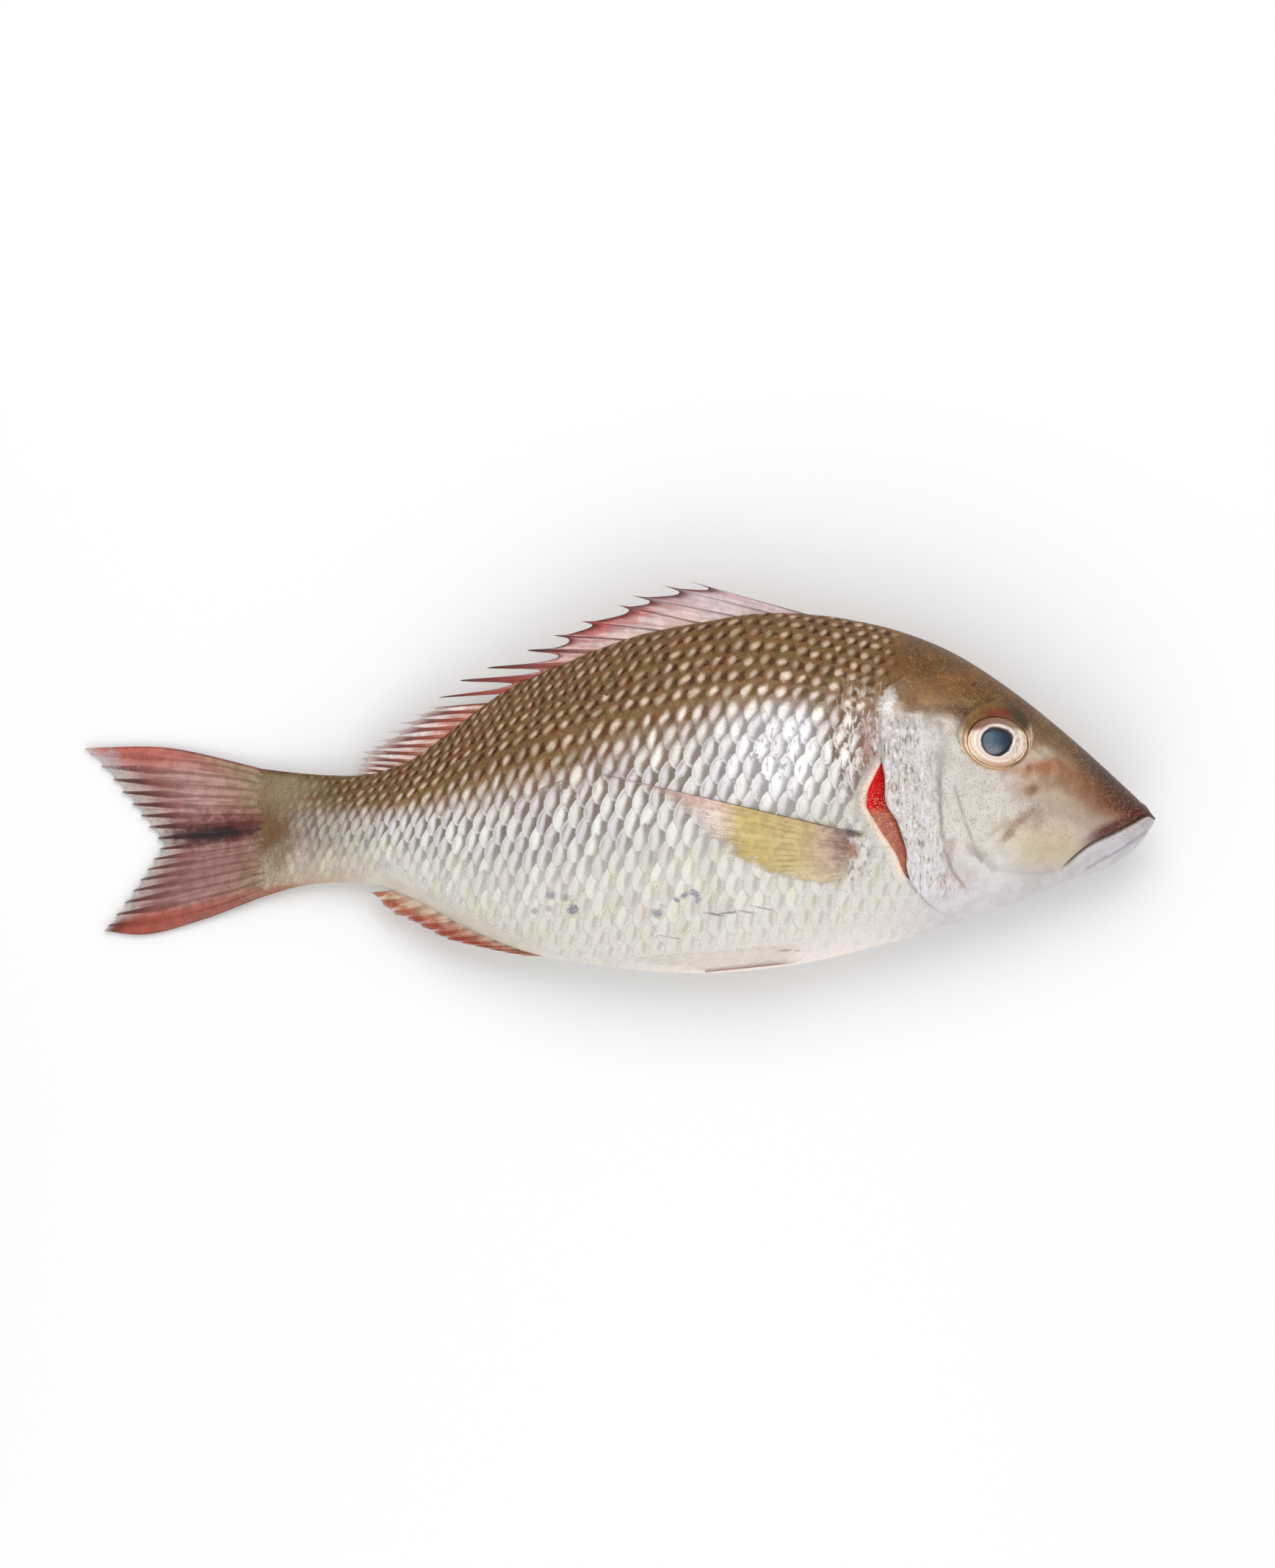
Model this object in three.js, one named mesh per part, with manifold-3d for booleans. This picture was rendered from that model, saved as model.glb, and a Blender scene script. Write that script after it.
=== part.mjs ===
// A whole raw fish of the emperor bream kind, lying on its left side with the right side up.
// Millimetres. +X runs to the snout, +Y to the back fin, +Z up from the surface it lies on.
// Along the fish, a place is given by its distance s behind the tip of the snout; across it,
// by its height y over the line from the mouth to the middle of the tail.
import * as THREE from "three";
import { mergeVertices } from "three/addons/utils/BufferGeometryUtils.js";
import Module from "manifold-3d";

const wasm = await Module();
wasm.setup();

// Driving dimensions
const LENGTH = 400;
const BODY_END = 347;
const TAIL_ROOT_ROUND = 13; // length over which the flesh rounds off into the tail fin
const GAP = 0.35;

// Profiles down the length, each a smooth curve through [s, value]
const BACK = [
  [0, -1.2], [3, 2.4], [9.3, 8.7], [31, 28.4], [53, 46.1], [75, 60.3], [97, 69], [121, 74.2],
  [146, 75.4], [166, 72.6], [193, 67], [221, 56.4], [241, 47.2], [259, 34.4], [276, 21.6],
  [292, 15.8], [306, 15.2], [322, 16.4], [337, 18.3], [347, 20.4],
];
const BELLY = [
  [0, -1.2], [1.5, -4.4], [5, -9.6], [10, -14.6], [18, -19.8], [31, -24], [53, -33.2], [75, -40.2],
  [102, -48.6], [134, -56], [170, -59.2], [205, -56.6], [233, -51.6], [255, -43], [277, -31.4],
  [290, -26.8], [306, -25.6], [320, -27.4], [334, -31.6], [347, -36],
];
const HALF_WIDTH = [
  [0, 0], [1.5, 3], [6, 6.4], [14, 10.2], [30, 15.2], [50, 19.6], [75, 23.8], [100, 26.4],
  [130, 27.4], [160, 26.8], [190, 24.6], [220, 20.8], [250, 15.8], [280, 10.8], [305, 7.8],
  [325, 5.2], [338, 3], [347, 1.2],
];
const WIDEST_AT = [[0, -1.2], [14, -2], [50, 4], [100, 9], [170, 8], [240, 0], [290, -5], [347, -8]];
const LIFT = [
  [0, 22], [60, 24.2], [110, 25], [190, 25], [220, 23.4], [250, 18.6], [280, 12.4], [305, 8],
  [325, 5.2], [345, 2.8], [365, 1.7], [400, 1.5],
];
const BACK_EDGE = 1.2; // over 1 draws the section in to a ridge, under 1 makes it blunt
const BELLY_EDGE = 0.98;
const AROUND = 28;

// Fins
const SPINE_TIPS = [
  [173.8, 87], [183.4, 85.4], [194.8, 81.6], [199.5, 78], [213.6, 72], [224, 66.8], [233.8, 61.4],
  [248.8, 54.8], [258.9, 50.2], [266.8, 43.7],
];
const SPINE_BASE = { first: 120.6, step: 15.8, shrink: 0.27 };
const SOFT_BACK = { rays: 9, from: 246, to: 288 };
const SOFT_BACK_TIPS = [[0, 272, 40], [0.3, 283.8, 33.6], [0.55, 290, 28], [0.8, 296.5, 24.5], [1, 297.6, 15.4]];
const ANAL = { rays: 11, from: 216, to: 272 };
const ANAL_TIPS = [
  [0, 236, -52.2], [0.25, 252, -49.2], [0.5, 266, -45.6], [0.7, 276.7, -40], [0.87, 286, -35.6], [1, 292.6, -29],
];
const TAIL = { rays: 17, rootFrom: 16.6, rootTo: -29.4, root: 326, notch: 371, notchAt: -10.9 };
const TAIL_UPPER = [[0, 336, 18.3], [0.35, 362, 24.2], [0.6, 376, 25.6], [1, 399.7, 25]];
const TAIL_LOWER = [[0, 330, -30], [0.35, 356, -39.4], [0.7, 376, -44.6], [1, 392, -43.4]];
const PECTORAL = { rays: 13, top: [112, -6.3], bottom: [113.5, -22.5] };
const PECTORAL_TIPS = [
  [0, 210.4, 16.4], [0.18, 189.6, 9.3], [0.36, 172, -3.2], [0.55, 161, -13], [0.72, 151, -19.2],
  [0.86, 139.7, -22.6], [1, 126, -25.2],
];
const PELVIC = { rays: 5, top: [127, -47.6], bottom: [131, -53.6] };
const PELVIC_TIPS = [[0, 199, -53.2], [0.4, 190, -55.2], [1, 168, -58.2]];

// Head
const EYE = { s: 59.5, y: 27.1, long: 13, high: 10.8, deep: 7.2, sunk: 3.1 };
const ORBIT = { long: 13.6, high: 11.4, tube: 1.6 };
const GAPE = [[0, -1.4], [3, 0.2], [8, -2.6], [15.6, -6.6], [25.4, -11.6], [35.5, -20.2]];
const GAPE_DEPTH = 3;
const LIP = { wide: 4.2, rise: 0.9, above: 1.1 };
const NOSTRILS = [[45.8, 9.6], [47.4, 17.6]];
const SLIT_BACK = [
  [20.2, 102.3], [14.7, 105.3], [9.3, 108], [4.1, 108.9], [-0.5, 106.7], [-6.8, 102.9],
  [-13.9, 97.7], [-20.7, 94.7], [-25.4, 91.6],
];
const GILL_COVER = [
  [46, 101], [34, 103], [20.2, 102.3], [13.9, 101.2], [4.4, 100.7], [-1.9, 96.9], [-7.9, 94.7],
  [-13.9, 93], [-19.6, 93], [-25.4, 91.2], [-33, 84], [-39, 74],
];
const GILL_COVER_FRONT = [[46, 88], [0, 80], [-28, 74], [-39, 66]];
const GILL_COVER_RISE = 1.5;
const SLIT_DEPTH = 4.6;
const CHEEK = [[20, 80.5], [0, 80], [-10, 78.5], [-20, 75.5], [-29, 69]];
const CHEEK_FRONT = [[20, 66], [0, 54], [-29, 44]];
const CHEEK_RISE = 0.9;

// A smooth curve through [place, value] pairs.
function curve(points, column = 1) {
  const last = points.length - 1;
  const sign = points[last][0] < points[0][0] ? -1 : 1;
  const slopes = points.map((_, i) => {
    const a = points[Math.max(i - 1, 0)];
    const b = points[Math.min(i + 1, last)];
    return (b[column] - a[column]) / (b[0] - a[0]);
  });
  return (place) => {
    let i = 0;
    while (i < last - 1 && sign * place > sign * points[i + 1][0]) i++;
    const a = points[i];
    const b = points[i + 1];
    const span = b[0] - a[0];
    const t = THREE.MathUtils.clamp((place - a[0]) / span, 0, 1);
    const t2 = t * t;
    const t3 = t2 * t;
    return (
      a[column] * (2 * t3 - 3 * t2 + 1) +
      slopes[i] * span * (t3 - 2 * t2 + t) +
      b[column] * (3 * t2 - 2 * t3) +
      slopes[i + 1] * span * (t3 - t2)
    );
  };
}

const back = curve(BACK);
const belly = curve(BELLY);
const halfWidth = curve(HALF_WIDTH);
const widestAt = curve(WIDEST_AT);
const lift = curve(LIFT);
const { lerp, smoothstep } = THREE.MathUtils;

const along = (s) => LENGTH / 2 - s;
const edgeOf = (cosine) => lerp(BELLY_EDGE, BACK_EDGE, smoothstep(cosine, -0.6, 0.8));

// A point of the skin, at an angle round the body: 0 is the back, a quarter turn the right side.
function skin(s, angle) {
  const c = Math.cos(angle);
  const across = Math.sin(angle);
  const high = c > 0 ? back(s) - widestAt(s) : widestAt(s) - belly(s);
  const out = halfWidth(s) * Math.sign(across) * Math.abs(across) ** edgeOf(c);
  return new THREE.Vector3(along(s), widestAt(s) + high * c, lift(s) + out);
}

// How far the skin of a side stands off the body's middle plane.
function flank(s, y) {
  const high = y > widestAt(s) ? back(s) - widestAt(s) : widestAt(s) - belly(s);
  const c = THREE.MathUtils.clamp((y - widestAt(s)) / high, -1, 1);
  return halfWidth(s) * Math.sqrt(1 - c * c) ** edgeOf(c);
}

// A point over the skin of the right side (side 1) or the left (side -1), kept off the edges.
function onSide(s, y, over, side) {
  const BELLY_KEEP = 3;
  const BACK_KEEP = 1.5;
  const inside = THREE.MathUtils.clamp(y, belly(s) + BELLY_KEEP, back(s) - BACK_KEEP);
  return new THREE.Vector3(along(s), inside, lift(s) + side * (flank(s, inside) + over));
}

// The way out of the skin at a place of a side.
function outward(s, y, side) {
  const STEP = 8;
  const forward = onSide(s - STEP, y, 0, side).sub(onSide(s + STEP, y, 0, side));
  const up = onSide(s, y + STEP, 0, side).sub(onSide(s, y - STEP, 0, side));
  return forward.cross(up).normalize().multiplyScalar(side);
}

// A closed solid from rings of points, each ring with as many points as the next.
function loft(rings, start, end) {
  const points = [start, ...rings.flat(), end];
  const count = rings[0].length;
  const at = (i, j) => 1 + i * count + (j % count);
  const faces = [];
  for (let j = 0; j < count; j++) {
    faces.push(0, at(0, j + 1), at(0, j));
    faces.push(points.length - 1, at(rings.length - 1, j), at(rings.length - 1, j + 1));
    for (let i = 0; i + 1 < rings.length; i++) {
      faces.push(at(i, j), at(i, j + 1), at(i + 1, j));
      faces.push(at(i, j + 1), at(i + 1, j + 1), at(i + 1, j));
    }
  }
  return solid(points, faces);
}

// A closed sheet between two faces, over a grid of u, root to tip, and v, first ray to last.
function sheet(across, steps, over, under) {
  const rows = steps + 1;
  const points = [];
  for (const face of [over, under]) {
    for (const v of across) {
      for (let j = 0; j < rows; j++) points.push(face(j / steps, v));
    }
  }
  const half = across.length * rows;
  const faces = [];
  const quad = (a, b, c, d) => faces.push(a, b, c, a, c, d);
  for (let i = 0; i + 1 < across.length; i++) {
    for (let j = 0; j < steps; j++) {
      const a = i * rows + j;
      quad(a, a + 1, a + rows + 1, a + rows);
      quad(half + a, half + a + rows, half + a + rows + 1, half + a + 1);
    }
    quad(i * rows, (i + 1) * rows, half + (i + 1) * rows, half + i * rows);
    const tip = i * rows + steps;
    quad(tip, half + tip, half + tip + rows, tip + rows);
  }
  const far = (across.length - 1) * rows;
  for (let j = 0; j < steps; j++) {
    quad(j, half + j, half + j + 1, j + 1);
    quad(far + j, far + j + 1, half + far + j + 1, half + far + j);
  }
  return solid(points, faces);
}

// Turns points and faces into a solid with its faces pointing out.
function solid(points, faces) {
  const vertProperties = new Float32Array(points.flatMap((p) => [p.x, p.y, p.z]));
  const build = (triVerts) =>
    new wasm.Manifold(new wasm.Mesh({ numProp: 3, vertProperties, triVerts: new Uint32Array(triVerts) }));
  const made = build(faces);
  if (made.volume() > 0) return made;
  return build(faces.map((_, i) => faces[i - (i % 3) + (2 - (i % 3))]));
}

// Turns a closed three.js geometry into a solid.
function solidOf(geometry, matrix) {
  const bare = geometry.clone().applyMatrix4(matrix);
  bare.deleteAttribute("normal");
  bare.deleteAttribute("uv");
  const merged = mergeVertices(bare, 1e-3);
  return new wasm.Manifold(
    new wasm.Mesh({
      numProp: 3,
      vertProperties: merged.attributes.position.array,
      triVerts: new Uint32Array(merged.index.array),
    }),
  );
}

// Even steps from 0 to 1, with `per` steps for each of `count` spaces.
const spread = (count, per) => Array.from({ length: count * per + 1 }, (_, i) => i / (count * per));
// 1 on a ray and 0 midway between two.
const ridge = (v, spaces) => Math.abs(Math.cos(Math.PI * v * spaces)) ** 2;

// The trunk, head and tail root in one loft.
function makeBody() {
  const stations = [0.5, 1.6, 3.4, 6, 9.3, 13.4, 18];
  const STEP = 7;
  const roundFrom = BODY_END - TAIL_ROOT_ROUND;
  for (let s = 23.6; s < roundFrom; s += STEP) stations.push(s);
  for (const part of [0.3, 0.6, 0.8, 0.93]) stations.push(roundFrom + part * TAIL_ROOT_ROUND);
  const turns = Array.from({ length: AROUND }, (_, j) => (j / AROUND) * 2 * Math.PI);
  const middle = (s) => (back(s) + belly(s)) / 2;
  const rings = stations.map((s) => {
    const part = Math.max(0, (s - roundFrom) / TAIL_ROOT_ROUND);
    const tall = Math.sqrt(1 - part * part);
    return turns.map((angle) => {
      const point = skin(s, angle);
      return point.setY(lerp(middle(s), point.y, tall));
    });
  });
  const snout = new THREE.Vector3(along(0), back(0), lift(0));
  const tail = new THREE.Vector3(along(BODY_END), middle(BODY_END), lift(BODY_END));
  return loft(rings, snout, tail);
}

// A fin on the middle plane: root(v) and tip(v) give [s, y], thick(u, v) half its thickness.
function medianFin(across, steps, root, tip, thick) {
  const place = (u, v, side) => {
    const [s0, y0] = root(v);
    const [s1, y1] = tip(v);
    const s = lerp(s0, s1, u);
    return new THREE.Vector3(along(s), lerp(y0, y1, u), lift(s) + side * thick(u, v));
  };
  return sheet(across, steps, (u, v) => place(u, v, 1), (u, v) => place(u, v, -1));
}

// Spiny part of the back fin: leaning spines with the skin hollowed between their tips.
function makeSpines() {
  const last = SPINE_TIPS.length - 1;
  const ROOT_SINK = 2;
  const base = (k) => SPINE_BASE.first + SPINE_BASE.step * k - SPINE_BASE.shrink * k * k;
  const root = (v) => [base(v * last), back(base(v * last)) - ROOT_SINK];
  const notch = [1, 0.86, 0.8, 0.9]; // how much of a spine's length the skin reaches behind it
  const tip = (v) => {
    const k = Math.min(Math.floor(v * last + 1e-6), last);
    const part = Math.round((v * last - k) * notch.length);
    const [s0, y0] = root(v);
    const next = SPINE_TIPS[Math.min(k + 1, last)];
    const t = part / notch.length;
    const reach = notch[part % notch.length];
    const s1 = lerp(SPINE_TIPS[k][0], next[0], t);
    const y1 = lerp(SPINE_TIPS[k][1], next[1], t);
    return [lerp(s0, s1, reach), lerp(y0, y1, reach)];
  };
  const thick = (u, v) => lerp(0.4, lerp(1.3, 0.45, u), ridge(v, last));
  return medianFin(spread(last, notch.length), 3, root, tip, thick);
}

// A soft-rayed median fin, its ray tips standing a little past the skin between them.
function softFin(rays, root, tips, steps, baseHalf, reachBetween) {
  const spaces = rays - 1;
  const tipS = curve(tips, 1);
  const tipY = curve(tips, 2);
  const tip = (v) => {
    const reach = lerp(reachBetween, 1, ridge(v, spaces));
    const [s0, y0] = root(v);
    return [lerp(s0, tipS(v), reach), lerp(y0, tipY(v), reach)];
  };
  const thick = (u, v) => lerp(baseHalf, 0.4, u) * lerp(0.65, 1, ridge(v, spaces));
  return medianFin(spread(spaces, 2), steps, root, tip, thick);
}

function makeSoftBackFin() {
  const root = (v) => {
    const s = lerp(SOFT_BACK.from, SOFT_BACK.to, v);
    return [s, back(s) - 2];
  };
  return softFin(SOFT_BACK.rays, root, SOFT_BACK_TIPS, 3, 1.2, 0.86);
}

function makeAnalFin() {
  const root = (v) => {
    const s = lerp(ANAL.from, ANAL.to, v);
    return [s, belly(s) + 2.5];
  };
  return softFin(ANAL.rays, root, ANAL_TIPS, 3, 1.6, 0.93);
}

// The forked tail: rays fan from the tail root to two pointed lobes.
function makeTailFin() {
  const spaces = TAIL.rays - 1;
  const upper = [curve(TAIL_UPPER, 1), curve(TAIL_UPPER, 2)];
  const lower = [curve(TAIL_LOWER, 1), curve(TAIL_LOWER, 2)];
  const HOLLOW = 1.5; // how strongly the hind edge of a lobe curves in to the fork
  const place = (u, v, side) => {
    const y0 = lerp(TAIL.rootFrom, TAIL.rootTo, v);
    const [edgeS, edgeY] = v < 0.5 ? upper : lower;
    const inward = v < 0.5 ? 2 * v : 2 - 2 * v;
    const spike = lerp(0.9, 1, ridge(v, spaces));
    const tipS = lerp(TAIL.notch, edgeS(1), (1 - inward) ** HOLLOW);
    const tipY = lerp(TAIL.notchAt, edgeY(1), 1 - inward);
    const straightS = lerp(TAIL.root, tipS, u * spike);
    const straightY = lerp(y0, tipY, u * spike);
    const rim = (1 - inward) ** 6;
    const s = lerp(straightS, lerp(TAIL.root, edgeS(u), Math.min(1, 4 * u)), rim);
    const y = lerp(straightY, lerp(y0, edgeY(u), Math.min(1, 4 * u)), rim);
    const half = lerp(2.2, 0.45, Math.sqrt(u)) * lerp(0.6, 1, ridge(v, spaces)) * lerp(0.5, 1, Math.sqrt(inward));
    return new THREE.Vector3(along(s), y, lift(s) + side * half);
  };
  return sheet(spread(spaces, 2), 5, (u, v) => place(u, v, 1), (u, v) => place(u, v, -1));
}

// A paired fin folded flat against a side.
function makeSideFin({ rays, top, bottom }, tips, steps, rise, side) {
  const spaces = rays - 1;
  const tipS = curve(tips, 1);
  const tipY = curve(tips, 2);
  const SINK = -1.6;
  const place = (u, v, over) => {
    const reach = lerp(0.95, 1, ridge(v, spaces));
    const s = lerp(lerp(top[0], bottom[0], v), tipS(v), u * reach);
    const y = lerp(lerp(top[1], bottom[1], v), tipY(v), u * reach);
    return onSide(s, y, over, side);
  };
  const over = (u, v) => lerp(rise, 0.35, u) * lerp(0.7, 1, ridge(v, spaces));
  return sheet(spread(spaces, 2), steps, (u, v) => place(u, v, over(u, v)), (u, v) => place(u, v, SINK));
}

// A bony plate in the skin of the head, which rises to its hind edge and ends there in a step.
function makePlate(hind, front, rise, side) {
  const hindAt = curve(hind);
  const frontAt = curve(front);
  const top = hind[0][0];
  const low = hind[hind.length - 1][0];
  const SINK = -2.5;
  const place = (u, v, over) => {
    const y = lerp(top, low, v);
    return onSide(lerp(frontAt(y), hindAt(y), u), y, over, side);
  };
  const START = -0.6; // the front edge starts under the skin, so the plate comes out of it smoothly
  const over = (u, v) => lerp(START, rise * Math.sin(Math.PI * lerp(0.08, 0.92, v)) ** 0.5, u);
  return sheet(spread(11, 1), 3, (u, v) => place(u, v, over(u, v)), (u, v) => place(u, v, SINK));
}

// The open gill slit behind the cover, as a wedge shrunk by `inset`, from one depth to another.
function slitWedge(inset, lowest, highest, side) {
  const behind = curve(SLIT_BACK);
  const ahead = curve(GILL_COVER);
  const top = SLIT_BACK[0][0] - inset;
  const low = SLIT_BACK[SLIT_BACK.length - 1][0] + inset;
  const place = (u, v, over) => {
    const y = lerp(top, low, v);
    const wide = Math.max(behind(y) - ahead(y) - 2 * inset, 0.3);
    const middle = (behind(y) + ahead(y)) / 2;
    const s = middle + wide * (u - 0.5);
    return onSide(s, y, over, side);
  };
  return sheet(spread(12, 1), 2, (u, v) => place(u, v, highest), (u, v) => place(u, v, lowest));
}

// The upper lip: a low roll of skin over the mouth line.
function makeLip(side) {
  const line = curve(GAPE);
  const from = 5;
  const end = GAPE[GAPE.length - 1][0];
  const place = (u, v, over) => {
    const s = lerp(from, end, v);
    return onSide(s - 0.4 * LIP.wide * u, line(s) + LIP.above + LIP.wide * u, over, side);
  };
  const over = (u, v) => lerp(-0.7, LIP.rise, Math.sin(Math.PI * lerp(0.25, 1, u))) * lerp(1, 0.5, v);
  return sheet(spread(8, 1), 3, (u, v) => place(u, v, over(u, v)), (u, v) => place(u, v, -2));
}

// The line of the closed mouth, cut a little way into both sides and round the snout.
function gapeCut(side) {
  const line = curve(GAPE);
  const end = GAPE[GAPE.length - 1][0];
  const FAR = 40;
  const WIDE = 1;
  const place = (u, v, out) => {
    const s = v * end - 1;
    const open = WIDE * Math.sin(Math.PI * lerp(0.3, 0.96, v)) + 0.1;
    const inner = Math.max(halfWidth(Math.max(s, 0)) - GAPE_DEPTH, -0.5);
    const y = line(Math.max(s, 0)) + open * (2 * u - 1);
    return new THREE.Vector3(along(s), y, lift(s) + side * (out ? FAR : inner));
  };
  return sheet(spread(10, 1), 1, (u, v) => place(u, v, true), (u, v) => place(u, v, false));
}

// A matrix that stands a shape's own Z axis out of the skin at an eye, sunk by some depth.
function eyeMatrix(size, sunk, side) {
  const out = outward(EYE.s, EYE.y, side);
  const turn = new THREE.Quaternion().setFromUnitVectors(new THREE.Vector3(0, 0, 1), out);
  const at = onSide(EYE.s, EYE.y, 0, side).addScaledVector(out, -sunk);
  return new THREE.Matrix4().compose(at, turn, size);
}

// An eyeball, grown all round by `grow` for its socket.
function eyeball(grow, side) {
  const size = new THREE.Vector3(EYE.long + grow, EYE.high + grow, EYE.deep + grow);
  const ball = new THREE.SphereGeometry(1, 24, 12).rotateX(Math.PI / 2);
  return solidOf(ball, eyeMatrix(size, EYE.sunk, side));
}

// The raised rim of skin round an eye.
function orbitRim(side) {
  const SUNK = 0.3;
  const size = new THREE.Vector3(1, ORBIT.high / ORBIT.long, 1);
  const ring = new THREE.TorusGeometry(ORBIT.long, ORBIT.tube, 6, 20);
  return solidOf(ring, eyeMatrix(size, SUNK, side));
}

function nostril([s, y], side) {
  const SIZE = 1.3;
  const at = onSide(s, y, 0.2, side);
  const size = new THREE.Vector3(SIZE, SIZE, SIZE);
  return solidOf(new THREE.SphereGeometry(1, 8, 6), new THREE.Matrix4().compose(at, new THREE.Quaternion(), size));
}

// Everything that is one piece of flesh, skin and bone.
function makeFish() {
  let fish = makeBody();
  for (const fin of [makeSpines(), makeSoftBackFin(), makeAnalFin(), makeTailFin()]) fish = fish.add(fin);
  for (const side of [1, -1]) {
    fish = fish.add(makePlate(GILL_COVER, GILL_COVER_FRONT, GILL_COVER_RISE, side));
    fish = fish.add(makePlate(CHEEK, CHEEK_FRONT, CHEEK_RISE, side));
    fish = fish.add(makeLip(side));
    fish = fish.add(orbitRim(side));
    fish = fish.add(makeSideFin(PECTORAL, PECTORAL_TIPS, 5, 1.6, side));
    fish = fish.add(makeSideFin(PELVIC, PELVIC_TIPS, 3, 1.4, side));
  }
  for (const side of [1, -1]) {
    fish = fish.subtract(eyeball(GAP, side));
    fish = fish.subtract(slitWedge(0, -SLIT_DEPTH, 6, side));
    fish = fish.subtract(gapeCut(side));
    for (const place of NOSTRILS) fish = fish.subtract(nostril(place, side));
  }
  return fish.subtract(underSurface());
}

// What lies below the surface the fish rests on; cutting it off leaves the flat pressed patch.
function underSurface() {
  const THICK = 60;
  const block = new THREE.BoxGeometry(2 * LENGTH, LENGTH, THICK);
  return solidOf(block, new THREE.Matrix4().makeTranslation(0, 0, -THICK / 2));
}

// A named mesh from a solid.
function mesh(name, made, colour, roughness) {
  const data = made.getMesh();
  const places = new Float32Array(data.numVert * 3);
  for (let i = 0; i < data.numVert; i++) {
    places.set(data.vertProperties.subarray(i * data.numProp, i * data.numProp + 3), i * 3);
  }
  const geometry = new THREE.BufferGeometry();
  geometry.setAttribute("position", new THREE.BufferAttribute(places, 3));
  geometry.setIndex(new THREE.BufferAttribute(data.triVerts, 1));
  geometry.computeVertexNormals();
  const piece = new THREE.Mesh(geometry, new THREE.MeshStandardMaterial({ color: colour, roughness, metalness: 0 }));
  piece.name = name;
  return piece;
}

const lying = new THREE.Group();
lying.add(mesh("fish", makeFish(), 0xa8977f, 0.35));
for (const [word, side] of [["right", 1], ["left", -1]]) {
  lying.add(mesh(`eye_${word}`, eyeball(0, side), 0xe6d6b4, 0.15));
  lying.add(mesh(`gill_${word}`, slitWedge(GAP, GAP - SLIT_DEPTH, -1.6, side), 0xb02a1a, 0.3));
}

// The frame's origin is under the middle of the whole fish, on the surface it lies on.
const box = new THREE.Box3().setFromObject(lying);
const centre = box.getCenter(new THREE.Vector3());
lying.position.set(-centre.x, -centre.y, -box.min.z);

const group = new THREE.Group();
group.add(lying);

export default group;
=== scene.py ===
"""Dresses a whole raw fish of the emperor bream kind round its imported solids.

Sizes inside the classes are millimetres. A place on the fish is given as in the solids: its
distance behind the tip of the snout, and its height over the line from the mouth to the
middle of the tail. Body.place alone turns such points into metres of the shared frame.
"""
import logging
import math
from dataclasses import dataclass, field
from enum import Enum
from functools import partialmethod
from typing import Any, Sequence, Union

import bpy
import numpy as np
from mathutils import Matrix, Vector


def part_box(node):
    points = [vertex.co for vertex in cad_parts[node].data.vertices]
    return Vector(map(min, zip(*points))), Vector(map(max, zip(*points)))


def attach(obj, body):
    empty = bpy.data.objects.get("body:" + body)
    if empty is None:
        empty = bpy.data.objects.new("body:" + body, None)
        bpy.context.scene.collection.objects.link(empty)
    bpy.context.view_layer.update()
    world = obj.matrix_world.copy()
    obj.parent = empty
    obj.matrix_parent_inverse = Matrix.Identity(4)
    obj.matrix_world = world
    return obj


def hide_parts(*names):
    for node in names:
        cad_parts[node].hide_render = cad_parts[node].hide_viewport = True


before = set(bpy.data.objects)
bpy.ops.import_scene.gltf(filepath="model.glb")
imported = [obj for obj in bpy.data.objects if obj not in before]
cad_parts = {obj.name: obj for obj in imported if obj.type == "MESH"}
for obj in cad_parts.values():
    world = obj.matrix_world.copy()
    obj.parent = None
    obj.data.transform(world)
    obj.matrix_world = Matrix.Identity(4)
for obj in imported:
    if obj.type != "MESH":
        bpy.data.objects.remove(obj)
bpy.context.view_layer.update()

# Words for types, and names shared by all parts
Array = np.ndarray
Number = Union[float, Array]
Pair = tuple[float, float]
Grids = tuple[Array, Array]
Knots = tuple[tuple[float, ...], ...]
Seen = tuple[int, int, int]
Stops = tuple[tuple[float, Seen], ...]
Material = bpy.types.Material
Tree = bpy.types.NodeTree

log = logging.getLogger("whole_fish")

BODY = "root"
SKIN_SLOT = "skin"
EYE_SLOT = "eye"
GILL_SLOT = "gill"
MM = 0.001
GLOSS = 0.014  # the light that a wet surface adds over its pigment


class Side(Enum):
    """The two flanks: the right one lies up, the left one on the floor."""

    RIGHT = 1
    LEFT = -1

    @property
    def word(self) -> str:
        """The side's name for a piece."""
        return self.name.lower()


# Curves and soft steps
def smooth(value: Number, low: float, high: float) -> Array:
    """Rises softly from 0, where the value is low, to 1, where it is high."""
    share = np.clip((value - low) / (high - low), 0, 1)
    return share * share * (3 - 2 * share)


def between(first: Number, last: Number, share: Number) -> Array:
    """The value a share of the way from the first to the last."""
    return first + (last - first) * share


def window(value: Number, low: float, full: float, past: float, high: float) -> Array:
    """Rises softly from 0 to 1, stays there, and falls back to 0."""
    return smooth(value, low, full) * (1 - smooth(value, past, high))


def bump_at(distance: Number, width: Number) -> Array:
    """A round hump that is 1 at distance 0 and dies out past its width."""
    return np.exp(-((distance / width) ** 2))


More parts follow.
